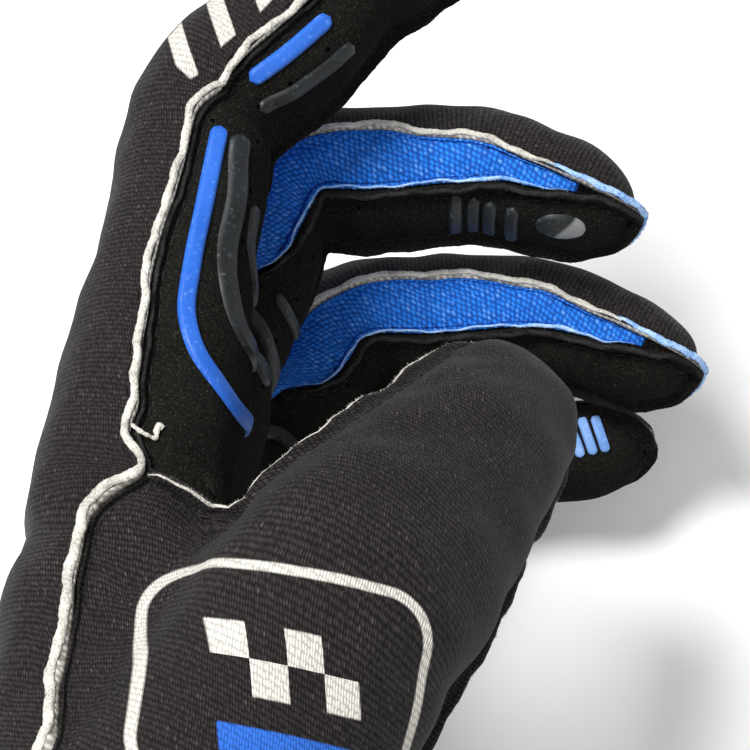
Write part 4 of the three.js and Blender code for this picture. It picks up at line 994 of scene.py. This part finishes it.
def grip(name, wide, path, material):
    """A raised print laid on the suede, with rounded sides and ends."""
    knots, _ = skin_at(path)
    owners = np.array([ray_named[ray].index for ray, _, _ in path])
    _, _, length = smooth_path(knots, 8)
    count = max(int(length / GRIP_STEP), GRIP_RINGS)
    centre, place, _ = smooth_path(knots, count)
    own = owners[np.minimum(place.astype(int), len(owners) - 1)]
    share = np.linspace(0, 1, count)
    from_end = np.minimum(share, 1 - share) * length
    # The pad is an oval, so its ends are rounded over the whole length.
    blunt = np.clip(from_end / (length / 2 if name == "middle_pad" else wide / 2), 0, 1)
    half = wide / 2 * np.sqrt(np.clip(1 - (1 - blunt) ** 2, GRIP_POINT, 1))
    profile = np.linspace(-1, 1, GRIP_COLUMNS)
    lift = GRIP_HEIGHT * np.clip(1 - profile ** GRIP_SQUARE, 0, 1) ** 0.5
    centre, _ = settle_each(centre, own)
    _, normal = settle_each(centre, own)
    across = unit(np.cross(unit(np.gradient(centre, axis=0)), normal))
    spread = centre[:, None] + across[:, None] * (half[:, None] * profile)[..., None]
    flat, facing = settle_each(spread.reshape(-1, 3), np.repeat(own, GRIP_COLUMNS))
    ends = (half / (wide / 2))[:, None] ** 0.5
    height = (lift[None] * ends).reshape(-1, 1) + GRIP_LIFT
    rings = (flat + facing * height).reshape(count, GRIP_COLUMNS, 3)
    weave = np.stack(np.broadcast_arrays(half[:, None] * profile, share[:, None] * length), -1)
    cloth = Cloth()
    cloth.grid(rings, weave, flip=True)
    return cloth.build(name + "_print", [material])


def sweep(cloth, line, normals, radius, phase, sides=8, rough=0.08):
    """A thick uneven thread of cut fibres along a line."""
    tangent = unit(np.gradient(line, axis=0))
    side = unit(np.cross(tangent, normals))
    up = np.cross(side, tangent)
    run = run_along(line)[:, None]
    turns = np.linspace(0, 2 * pi, sides + 1)
    wobble = (np.sin(run * 1.3 + phase + 2 * turns) + np.sin(run * 3.1 + 3 * turns + 1)
              + 0.7 * np.sin(run * 6.3 + phase))
    size = radius[:, None] * (1 + rough * wobble)
    size[:, -1] = size[:, 0]
    ring = (line[:, None] + side[:, None] * (np.cos(turns) * size)[..., None]
            + up[:, None] * (np.sin(turns) * size * THREAD_FLAT)[..., None])
    weave = np.stack(np.broadcast_arrays(turns[None] * 0.5, run), -1)
    cloth.grid(ring, weave, flip=True)


def resample(line, normals, values, step):
    """A line with its normals and values at even steps."""
    run = run_along(line)
    even = np.linspace(0, run[-1], max(int(run[-1] / step), 4))
    pick = lambda v: np.stack([np.interp(even, run, v[:, c]) for c in range(v.shape[1])], 1)
    return pick(line), unit(pick(normals)), pick(values[:, None])[:, 0]


def fray(rng, line, normals, side, size):
    """Loose fibres that stand off a thread, each a thin triangle."""
    count = int(len(line) * THREAD_STEP * FIBRES)
    spots = rng.integers(0, len(line), count)
    lean = rng.normal(0, FIBRE_LEAN, (count, 3))
    heading = unit(normals[spots] * FIBRE_UP + side[spots] * lean[:, :1] + lean * FIBRE_SPREAD)
    base = line[spots] + heading * (size[spots] * FIBRE_ROOT)[:, None]
    tip = base + heading * (FIBRE_LENGTH * rng.uniform(0.3, 1, count))[:, None]
    thick = unit(np.cross(heading, rng.normal(0, 1, (count, 3)))) * FIBRE_HALF
    return np.stack([base - thick, base + thick, tip], 1)


def raw_thread(name, seam, radius, lift, material, seed):
    """Frayed edge of cut cloth on the crest of a seam, with a radius for each of its places."""
    rng = np.random.default_rng(seed)
    cloth = Cloth()
    fibres = []
    chosen = (radius > LEAST_RADIUS) & (seam.rise[:, 0] > LEAST_RISE)
    bounds = np.flatnonzero(np.diff(np.concatenate([[0], chosen, [0]])))
    for start, stop in bounds.reshape(-1, 2):
        count = stop - start
        if count < THREAD_SHORTEST:
            continue
        part = slice(start, stop)
        crest = seam.crest()[part] + seam.normal[part] * lift
        from_end = np.minimum(np.arange(count), np.arange(count)[::-1])
        size = (radius[part] * np.clip(seam.rise[part, 0] * 1.5, 0, 1)
                * np.clip(THREAD_END + from_end / THREAD_GROWTH, 0, 1))
        line, normals, size = resample(crest, seam.normal[part], size, THREAD_STEP)
        way = np.linspace(0, len(line) * THREAD_STEP, len(line))
        slack = ripple(way, ((THREAD_SLACK[0], 0.55, seed), (THREAD_SLACK[1], 1.5, 2)))
        side = unit(np.cross(np.gradient(line, axis=0), normals))
        line = line + side * slack[:, None]
        sweep(cloth, line, normals, size, float(seed))
        fibres.append(fray(rng, line, normals, side, size))
    corners = np.concatenate(fibres).reshape(-1, 3) * MM
    triangles = np.arange(len(corners)).reshape(-1, 3)
    return [cloth.build(name, [material]),
            new_piece(name + "_fray", corners.tolist(), triangles.tolist(), [material])]


def loose_end(name, path, material):
    """A short curled end of a raw edge that lies on the suede."""
    points, normals = skin_at(path)
    lifts = LOOSE_RADIUS + LOOSE_RISE * np.clip(1 - np.arange(len(path)) / 2, 0, 1)
    line, _, _ = smooth_path(points + normals * lifts[:, None], LOOSE_RINGS)
    facing, _, _ = smooth_path(normals, LOOSE_RINGS)
    thickness = LOOSE_RADIUS * np.linspace(*LOOSE_TAPER, LOOSE_RINGS)
    cloth = Cloth()
    sweep(cloth, line, unit(facing), thickness, 0.0, rough=0.2)
    return cloth.build(name, [material])


def stitches(name, seam, material):
    """Short threads at the foot of a seam, in a dashed row."""
    cloth = Cloth()
    line = seam.foot + seam.inward * STITCH_INSET
    line, normals, _ = resample(line, seam.normal, np.ones(len(line)), STITCH_STEP)
    long = int(STITCH_LENGTH / STITCH_STEP)
    for k in range(int(len(line) * STITCH_STEP / STITCH_PITCH)):
        start = int(k * STITCH_PITCH / STITCH_STEP)
        if start + long + 1 >= len(line):
            break
        part = slice(start, start + long + 1)
        bow = np.sin(np.linspace(0, pi, long + 1))
        rise = STITCH_RISE * bow - STITCH_RADIUS * STITCH_SUNK
        sweep(cloth, line[part] + normals[part] * rise[:, None], normals[part],
              STITCH_RADIUS * (0.35 + 0.65 * bow ** 0.4), 0.0, sides=6, rough=0)
    return cloth.build(name, [material])


class Graph:
    """Short calls for a material's node tree."""

    def __init__(self, name):
        self.material = bpy.data.materials.new(name)
        self.material.use_nodes = True
        self.nodes, self.links = self.material.node_tree.nodes, self.material.node_tree.links
        self.nodes.clear()
        self.output = self.nodes.new("ShaderNodeOutputMaterial")
        self.shader = self.nodes.new("ShaderNodeBsdfPrincipled")
        self.links.new(self.shader.outputs[0], self.output.inputs["Surface"])

    def put(self, socket, value):
        if hasattr(value, "is_linked"):
            self.links.new(value, socket)
        elif isinstance(value, tuple):
            socket.default_value = (*value, 1)
        else:
            socket.default_value = value

    def set(self, **values):
        for key, value in values.items():
            self.put(self.shader.inputs[key.replace("_", " ")], value)

    def node(self, kind, inputs=(), **settings):
        node = self.nodes.new("ShaderNode" + kind)
        for key, value in settings.items():
            setattr(node, key, value)
        for key, value in dict(inputs).items():
            self.put(node.inputs[key], value)
        return node

    def math(self, operation, *values):
        return self.node("Math", enumerate(values), operation=operation).outputs[0]

    def plus(self, a, b):
        return self.math("ADD", a, b)

    def minus(self, a, b):
        return self.math("SUBTRACT", a, b)

    def times(self, a, b):
        return self.math("MULTIPLY", a, b)

    def over(self, a, b):
        return self.math("DIVIDE", a, b)

    def uv(self, layer):
        return self.node("UVMap", uv_map=layer).outputs[0]

    def object_space(self):
        return self.node("TexCoord").outputs["Object"]

    def split(self, vector):
        return tuple(self.node("SeparateXYZ", {0: vector}).outputs)

    def join(self, x, y):
        return self.node("CombineXYZ", {0: x, 1: y}).outputs[0]

    def noise(self, vector, scale, detail=2.0, roughness=0.5):
        return self.node("TexNoise", {"Vector": vector, "Scale": scale, "Detail": detail,
                                      "Roughness": roughness}).outputs["Fac"]

    def cells(self, vector, scale, randomness):
        """Distance to the nearest cell's centre, and the cell's random colour."""
        outputs = self.node("TexVoronoi", {"Vector": vector, "Scale": scale,
                                           "Randomness": randomness}).outputs
        return outputs["Distance"], outputs["Color"]

    def fit(self, value, low, high, to_low=0.0, to_high=1.0):
        return self.node("MapRange", {"Value": value, "From Min": low, "From Max": high,
                                      "To Min": to_low, "To Max": to_high}).outputs[0]

    def mix(self, share, a, b):
        return self.node("Mix", {"Factor": share, "A": a, "B": b}, data_type="RGBA").outputs["Result"]

    def bump(self, height, distance, strength):
        return self.node("Bump", {"Height": height, "Distance": distance,
                                  "Strength": strength}).outputs[0]


def rgb(code):
    """Linear colour of an sRGB code such as 0x2a2624."""
    parts = [((code >> shift) & 255) / 255 for shift in (16, 8, 0)]
    return tuple(v / 12.92 if v <= 0.04045 else ((v + 0.055) / 1.055) ** 2.4 for v in parts)


# Sizes of the cloths' patterns in metres
KNIT_WIDE, KNIT_LONG = 0.00036, 0.00064      # of one stitch of the knit
MESH_WIDE, MESH_LONG = 0.00078, 0.00072      # of one loop of the mesh
REVERSE_SIZE = 1.4                           # of the reverse's stitches against the knit's
LOOP_PITCH = 0.00062   # of the small dark gaps between the loops of a cut edge
HOLE_PITCH, HOLE_RADIUS = 0.007, 0.0004      # of the pricked holes in the suede
HOLES_FROM, HOLES_TO, HOLES_BESIDE = 0.012, 0.062, 0.02   # and of their area
PAD_GLARE_START, EDGE_BLUR = 0.0039, 0.0003         # place along a raised print where the pad's painted highlight begins, and blur of such an edge


def stitch_rows(g, vector, wide, long, lean, randomness=0.3):
    """Slanted stitches in staggered rows: their height, and a random number for each."""
    u, v, _ = g.split(vector)
    across = g.over(g.plus(u, g.times(v, lean)), wide)
    distance, colour = g.cells(g.join(across, g.over(v, long)), 1.0, randomness)
    return g.fit(distance, 0.55, 0.1), g.split(colour)[0]


def knit_material(name, print_mask=None):
    """Dark printed knit: fine loops, lighter specks where it stretches, and a soft sheen."""
    g = Graph(name)
    weave = g.uv("weave")
    place = g.object_space()
    loops, number = stitch_rows(g, weave, KNIT_WIDE, KNIT_LONG, -0.4)
    grain = g.noise(weave, 2600, 2)
    tone_ramp = g.fit(g.noise(place, 60, 3), 0.35, 0.75)
    bright = g.plus(g.fit(number, 0.1, 0.9, 0.2, 0.32), g.fit(number, 0.95, 0.98, 0, 0.24))
    bright = g.times(bright, g.fit(grain, 0.3, 0.65, 0.65, 1.0))
    speck = g.times(g.times(loops, bright), g.fit(tone_ramp, 0, 1, 0.7, 1.0))
    base = g.mix(g.noise(place, 140, 4), rgb(0x080606), rgb(0x0f0c0c))
    shade = g.mix(speck, base, rgb(0x706867))
    if print_mask:
        for mask, colour in print_mask(g):
            ink = g.mix(g.fit(loops, 0.35, 0.0, 0, 0.6), colour, tuple(c * 0.3 for c in colour))
            shade = g.mix(g.times(mask, g.fit(grain, 0.1, 0.35, 0.75, 1)), shade, ink)
    height = g.plus(loops, g.times(grain, 0.35))
    g.set(Base_Color=shade, Roughness=g.fit(grain, 0, 1, 0.72, 0.95),
          Normal=g.bump(height, 0.0001, 0.8), Sheen_Weight=0.05, Sheen_Roughness=0.45,
          Specular_IOR_Level=0.15)
    return g.material


def suede_material():
    """Near-black nap with faint olive specks, rubbed paler patches and pricked holes."""
    g = Graph("palm_suede")
    place = g.object_space()
    nap = g.noise(place, 2400, 3, 0.65)
    patch = g.fit(g.noise(place, 90, 4), 0.3, 0.8)
    base = g.mix(patch, rgb(0x0a0a09), rgb(0x161614))
    base = g.mix(g.fit(nap, 0.35, 0.7), base, rgb(0x1c1c1a))
    speck = g.fit(g.noise(place, 4200, 1), 0.62, 0.74)
    shade = g.mix(g.times(speck, 0.5), base, rgb(0x48483e))
    u, v, _ = g.split(g.uv("weave"))
    centre, _ = g.cells(g.join(u, v), 1 / HOLE_PITCH, 0.0)
    hole = g.fit(centre, HOLE_RADIUS / HOLE_PITCH, 0.8 * HOLE_RADIUS / HOLE_PITCH)
    area = g.times(g.math("GREATER_THAN", v, HOLES_FROM), g.math("LESS_THAN", v, HOLES_TO))
    area = g.times(area, g.math("GREATER_THAN", u, HOLES_BESIDE))
    shade = g.mix(g.times(hole, area), shade, rgb(0x020202))
    g.set(Base_Color=shade, Roughness=0.96, Normal=g.bump(nap, 0.00018, 0.8),
          Specular_IOR_Level=0.02)
    return g.material


def mesh_material():
    """Bright blue sports mesh: staggered rows of small raised loops, a few of them paler."""
    g = Graph("side_mesh")
    weave = g.uv("weave")
    loops, number = stitch_rows(g, weave, MESH_WIDE, MESH_LONG, 0.5)
    grain = g.noise(weave, 2800, 2)
    base = g.mix(loops, rgb(0x0a4698), rgb(0x2884f0))
    pale = g.times(loops, g.fit(number, 0.6, 0.95, 0, 0.6))
    base = g.mix(g.times(pale, g.fit(grain, 0.4, 0.6)), base, rgb(0x8ab8f2))
    height = g.plus(loops, g.times(grain, 0.3))
    g.set(Base_Color=base, Roughness=0.8, Normal=g.bump(height, 0.00018, 0.9),
          Specular_IOR_Level=0.2)
    return g.material


def thread_material(name, light, dark):
    """Cut fibres of a raw edge."""
    g = Graph(name)
    place = g.object_space()
    fine = g.noise(place, 3800, 2)
    patch = g.noise(place, 420, 3)
    shade = g.mix(g.fit(g.plus(fine, patch), 0.75, 1.15), dark, light)
    loops, _ = g.cells(place, 1 / LOOP_PITCH, 0.7)
    shade = g.mix(g.fit(loops, 0.3, 0.12, 0, 0.4), shade, tuple(0.45 * value for value in dark))
    g.set(Base_Color=shade, Roughness=0.95, Normal=g.bump(g.plus(fine, loops), 0.00012, 1.0),
          Specular_IOR_Level=0.15)
    return g.material


def silicone_material(name, light, dark, pale, wear_and_glare=None, wear_and_glare_from=PAD_GLARE_START):
    """Satin raised print, rubbed paler here and there. Past a slanted line it turns to another colour if
    one is given: real wear at the blue stripe's end, a painted highlight on the pad.
    """
    g = Graph(name)
    place = g.object_space()
    fine = g.noise(place, 1500, 2)
    patch = g.fit(g.noise(place, 160, 3), 0.35, 0.7)
    shade = g.mix(patch, dark, light)
    shade = g.mix(g.times(g.fit(fine, 0.6, 0.75), 0.4), shade, pale)
    if wear_and_glare:
        # Slanted line past which the colour turns: wear on the blue stripe, painted highlight on the pad
        u, v, _ = g.split(g.uv("weave"))
        tone_ramp = g.plus(v, g.times(u, 0.7))
        shade = g.mix(g.fit(tone_ramp, wear_and_glare_from - EDGE_BLUR, wear_and_glare_from + EDGE_BLUR), shade, wear_and_glare)
    g.set(Base_Color=shade, Roughness=g.fit(fine, 0.3, 0.7, 0.36, 0.55),
          Normal=g.bump(fine, 0.00005, 0.6), Specular_IOR_Level=0.25)
    return g.material


def reverse_material(name, light, dark):
    """Unprinted inside and cut wall of a cloth."""
    g = Graph(name)
    loops, _ = stitch_rows(g, g.uv("weave"), REVERSE_SIZE * KNIT_WIDE, REVERSE_SIZE * KNIT_LONG,
                           0.45)
    g.set(Base_Color=g.mix(loops, dark, light), Roughness=0.95,
          Normal=g.bump(loops, 0.0001, 0.8), Specular_IOR_Level=0.1)
    return g.material


# Printed designs: a chequered badge on the thumb and slanted bars on the index. Each has a
# place on the skin (ray, angle, row), and its map is in millimetres round that place.
BADGE_PLACE, BADGE_TURN = ("thumb", -8, 0.735), radians(-20)
BARS_PLACE, BARS_TURN = ("index", 62, 2.62), 0.0
PRINT_DEPTH, PRINT_REACH = 24, 40   # skin farther off than this bears no print
OUT_OF_REACH = 1000
INK_BLUR = 0.12                     # half width of a printed edge
# Boxes of the designs as half width, half height and corner, with their places and leans
BADGE_BOX, RING_WIDE = (15.5, 13.5, 6.5), 1.1
CHECK_BOX, CHECK_PITCH, CHECK_LEAN, CHECK_RISE, CHECK_START = (8.0, 3.9, 0.2), 4.1, 0.28, 2.45, 1.65
BADGE_BAR_BOX, BADGE_BAR_DROP = (8.2, 1.5, 0.3), 6.2
BARS_BOX, BARS_PITCH, BARS_LEAN, BARS_HALF = (4.6, 20.0, 0.2), 7.0, 0.55, 1.3
INK_WHITE, BLUE = rgb(0xc4c1b9), rgb(0x2a60bb)


def print_map(place, turn):
    """Map of a plane that touches the skin at a place, out of reach where the skin is too far off."""
    name, _, row = place
    centre, normal = (v[0] for v in skin_at([place]))
    ray = ray_named[name]
    along = ray.place(np.array([float(station_of(ray, row))]))[0, 3:6]
    up = unit(along - normal * (along @ normal))
    side = np.cross(up, normal)
    first = up * cos(turn) + side * sin(turn)
    second = side * cos(turn) - up * sin(turn)

    def measure(points):
        off = points - centre
        mapped = np.stack([off @ second, off @ first], 1)
        far = (off @ normal < -PRINT_DEPTH) | (np.linalg.norm(off, axis=1) > PRINT_REACH)
        mapped[far] = OUT_OF_REACH
        return mapped
    return measure


badge_print = print_map(BADGE_PLACE, BADGE_TURN)
finger_print = print_map(BARS_PLACE, BARS_TURN)


def box_distance(g, x, y, half_x, half_y, corner):
    """Distance from the edge of a box with round corners, negative inside."""
    dx = g.math("MAXIMUM", g.minus(g.math("ABSOLUTE", x), half_x - corner), 0.0)
    dy = g.math("MAXIMUM", g.minus(g.math("ABSOLUTE", y), half_y - corner), 0.0)
    return g.minus(g.math("SQRT", g.plus(g.times(dx, dx), g.times(dy, dy))), corner)


def inside(g, distance):
    return g.fit(distance, INK_BLUR, -INK_BLUR)


def badge_masks(g):
    """A ring round a chequered band and a blue bar."""
    x, y, _ = g.split(g.uv("print"))
    outer = box_distance(g, x, y, *BADGE_BOX)
    ring = g.times(inside(g, outer), inside(g, g.minus(-RING_WIDE, outer)))
    lean = g.plus(x, g.times(y, CHECK_LEAN))
    column = g.math("FLOOR", g.over(lean, CHECK_PITCH))
    row = g.math("FLOOR", g.over(g.plus(y, CHECK_START), CHECK_PITCH))
    odd = g.math("ABSOLUTE", g.math("MODULO", g.plus(column, row), 2.0))
    band = inside(g, box_distance(g, lean, g.minus(y, CHECK_RISE), *CHECK_BOX))
    checks = g.times(band, g.fit(odd, 0.4, 0.6))
    bar = inside(g, box_distance(g, lean, g.plus(y, BADGE_BAR_DROP), *BADGE_BAR_BOX))
    return [(ring, INK_WHITE), (checks, INK_WHITE), (bar, BLUE)]


def bar_masks(g):
    """Slanted white bars along the back of the index finger."""
    x, y, _ = g.split(g.uv("print"))
    lean = g.plus(y, g.times(x, BARS_LEAN))
    tooth = g.math("ABSOLUTE", g.minus(g.math("FRACT", g.over(lean, BARS_PITCH)), 0.5))
    stripes = inside(g, g.minus(g.times(tooth, BARS_PITCH), BARS_HALF))
    return [(g.times(stripes, inside(g, box_distance(g, x, y, *BARS_BOX))), INK_WHITE)]


KNIT_SLOT, SUEDE_SLOT, MESH_SLOT = "printed_knit", "palm_suede", "side_mesh"
plain_knit = knit_material("printed_knit")
thumb_knit = knit_material("thumb_knit", badge_masks)
back_knit = knit_material("back_knit", bar_masks)
suede = suede_material()
side_mesh = mesh_material()
knit_reverse = reverse_material("knit_reverse", rgb(0xdedbd2), rgb(0x8f8c86))
suede_reverse = reverse_material("suede_reverse", rgb(0x1c1c1b), rgb(0x0e0e0e))
mesh_reverse = reverse_material("mesh_reverse", rgb(0x2f6fcc), rgb(0x0d3f8f))
white_thread = thread_material("white_cut_edge", rgb(0xc8c5bc), rgb(0x94918a))
blue_thread = thread_material("blue_cut_edge", rgb(0xa9c6ea), rgb(0x5f8fcf))
black_thread = thread_material("suede_cut_edge", rgb(0x2a2a2a), rgb(0x101010))
sewing_thread = thread_material("sewing_thread", rgb(0x2a2726), rgb(0x141212))
GREY, DARK_GREY, RUBBED_GREY = rgb(0x212527), rgb(0x17191b), rgb(0x5a6264)
BLUES = BLUE, rgb(0x2156b0), rgb(0x6f96d6)
STRIPE_EDGE = 0.056   # place where the blue stripe turns worn
grey_silicone = silicone_material("grey_silicone", GREY, DARK_GREY, RUBBED_GREY)
blue_silicone = silicone_material("blue_silicone", *BLUES)
worn_blue = silicone_material("worn_blue_silicone", *BLUES, rgb(0x3a5283), STRIPE_EDGE)
light_silicone = silicone_material("light_silicone", rgb(0x7fa3d6), rgb(0x5f88c4), rgb(0xb4cbea))
# The pad's paler half, 0x77797a, is a painted highlight.
pad_silicone = silicone_material("pad_silicone", GREY, DARK_GREY, RUBBED_GREY, rgb(0x77797a))


def finish_piece(piece, node=None):
    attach(piece, "root")
    if node:
        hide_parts(node)
    return piece


back, back_seam = back_panel([back_knit, knit_reverse])
thumb, thumb_seam = thumb_panel([thumb_knit, knit_reverse])
palm, palm_seam = palm_panel([suede, suede_reverse])
cuff = cuff_band([plain_knit, knit_reverse])
for piece, slot_name, node in ((back, KNIT_SLOT, "back_panel"), (thumb, KNIT_SLOT, "thumb_panel"),
                               (palm, SUEDE_SLOT, "palm_panel"), (cuff, KNIT_SLOT, "cuff_band")):
    finish_piece(piece, node)

strips = []
STRIP_NAMES = ("fourchette_index_middle", "fourchette_middle_ring", "fourchette_ring_little")
for pair, name in enumerate(STRIP_NAMES, start=1):
    strip, strip_seam = side_strip(pair, name + "_cloth", [side_mesh, mesh_reverse])
    finish_piece(strip, name)
    strips.append((name, strip, strip_seam))

trims = {piece: [] for piece in (back, thumb, palm, cuff, *(row[1] for row in strips))}
GRIP_LOOKS = {"palm_stripe_1": (worn_blue, "blue_silicone"),
              "index_stripe_blue": (blue_silicone, "blue_silicone"),
              "middle_pad": (pad_silicone, "grey_silicone")}
for name, (wide, path) in GRIPS.items():
    material, slot_name = GRIP_LOOKS.get(name, (grey_silicone, "grey_silicone"))
    trims[palm].append(finish_piece(grip(name, wide, path, material), name))
for name, (wide, path) in FINGERTIP_BARS.items():
    trims[palm].append(finish_piece(grip(name, wide, path, light_silicone)))


def widths(seam, rule):
    """Thread radius for each place of a seam, by its row, the ray that owns it and its side."""
    sides = [next((key[1] for key in place["keys"] if key[0] != "fork"), 1)
             for place in seam.places]
    return np.array([float(rule(place["row"], place["own"], side))
                     for place, side in zip(seam.places, sides)])


def white_of_back(row, own, side):
    end = LITTLE_WHITE_END if own == 4 else WHITE_END
    if beside_strip(own, side):
        return EDGE_RADIUS * ramp(-row, -end - WHITE_FADE, -end)
    return WIDE_EDGE if own == 1 and row < 1 else EDGE_RADIUS


def white_of_thumb(row, own, side):
    return 0 if own == 1 and row < 1 else THIN_EDGE


def blue_of_back(row, own, side):
    if own == 4 or not beside_strip(own, side):
        return 0
    return BLUE_RADIUS * ramp(row, WHITE_END - BLUE_FADE, WHITE_END)


def black_of_palm(row, own, side):
    return SUEDE_EDGE


def blue_of_strip(row, own, side):
    return THIN_BLUE + (BLUE_RADIUS - THIN_BLUE) * ramp(row, *BLUE_ROWS)


STRIP_SEED = 11   # of the first strip's edge, the next ones follow
# Edges: owner, seam, radius by place, lift, material, slot and seed of the fibres
edges = {
    "back_white_edge": (back, back_seam, white_of_back, 0.05, white_thread, KNIT_SLOT, 3),
    "back_blue_edge": (back, back_seam, blue_of_back, 0.05, blue_thread, MESH_SLOT, 4),
    "thumb_white_edge": (thumb, thumb_seam, white_of_thumb, 0.0, white_thread, KNIT_SLOT, 5),
    "palm_cut_edge": (palm, palm_seam, black_of_palm, -0.1, black_thread, SUEDE_SLOT, 7),
}
for number, (name, strip, strip_seam) in enumerate(strips):
    edges[name + "_edge"] = (strip, strip_seam, blue_of_strip, 0.0, blue_thread, MESH_SLOT,
                             STRIP_SEED + number)
for name, (owner, seam, rule, lift, material, slot_name, seed) in edges.items():
    for piece in raw_thread(name, seam, widths(seam, rule), lift, material, seed):
        trims[owner].append(finish_piece(piece))
for name, owner, seam, slot_name in (("back_stitches", back, back_seam, KNIT_SLOT),
                                     ("thumb_stitches", thumb, thumb_seam, KNIT_SLOT),
                                     ("palm_stitches", palm, palm_seam, SUEDE_SLOT)):
    sewn = stitches(name, seam, sewing_thread)
    trims[owner].append(finish_piece(sewn))

curl = loose_end("fork_loose_end", LOOSE_END, white_thread)
trims[back].append(finish_piece(curl))


# Camera of the photograph: its back points along azimuth and elevation
CAMERA_AZIMUTH, CAMERA_ELEVATION = 10, 55
CAMERA_PLACE = Vector((61.9, -61.7, 278.8)) * MM
FOCAL_PIXELS, PICTURE_PIXELS, SENSOR = 2460, 750, 36
CLIP_START = 0.01
# Lights: name, azimuth, elevation, distance, size and power
LIGHTS = (("key", -72, 67, 0.7, 0.26, 7.4), ("front", -10, 55, 0.9, 0.5, 1.7))
LIGHT_TARGET = Vector((0.03, 0.10, 0.01))
WORLD_STRENGTH = 0.52
FLOOR_DROP = 0.004     # floor below the lowest piece
FLOOR_SIZE = 3.0


def place_facing(name, data, azimuth, elevation, centre, distance=0.0):
    """Adds a camera or light that looks at a centre from a distance, its angles in degrees."""
    azimuth, elevation = radians(azimuth), radians(elevation)
    to_eye = Vector((sin(azimuth) * cos(elevation), -cos(azimuth) * cos(elevation), sin(elevation)))
    right = Vector((cos(azimuth), sin(azimuth), 0))
    turn = Matrix((right, to_eye.cross(right), to_eye)).transposed().to_4x4()
    thing = bpy.data.objects.new(name, data)
    thing.matrix_world = Matrix.Translation(centre + to_eye * distance) @ turn
    bpy.context.scene.collection.objects.link(thing)
    return thing


def make_camera():
    data = bpy.data.cameras.new("camera")
    data.sensor_width = SENSOR
    data.lens = SENSOR * FOCAL_PIXELS / PICTURE_PIXELS
    data.clip_start = CLIP_START
    bpy.context.scene.camera = place_facing("camera", data, CAMERA_AZIMUTH, CAMERA_ELEVATION,
                                            CAMERA_PLACE)


def make_light():
    for name, azimuth, elevation, distance, size, power in LIGHTS:
        data = bpy.data.lights.new(name, "AREA")
        data.shape = "DISK"
        data.size = size
        data.energy = power
        place_facing(name, data, azimuth, elevation, LIGHT_TARGET, distance)
    world = bpy.data.worlds.new("studio")
    world.use_nodes = True
    background = world.node_tree.nodes["Background"]
    background.inputs["Color"].default_value = (1, 1, 1, 1)
    background.inputs["Strength"].default_value = WORLD_STRENGTH
    bpy.context.scene.world = world
    bpy.context.scene.view_settings.view_transform = "Standard"


def make_stage():
    g = Graph("pale_floor")
    tone = g.mix(g.noise(g.object_space(), 3, 2), rgb(0xf2f2f2), rgb(0xf6f6f6))
    g.set(Base_Color=tone, Roughness=0.9, Specular_IOR_Level=0.1)
    low = cad_bounds[0][2] - FLOOR_DROP
    half = FLOOR_SIZE / 2
    corners = [(-half, -half, low), (half, -half, low), (half, half, low), (-half, half, low)]
    floor = new_piece("floor", corners, [(0, 1, 2, 3)], [g.material])


make_camera()
make_light()
make_stage()
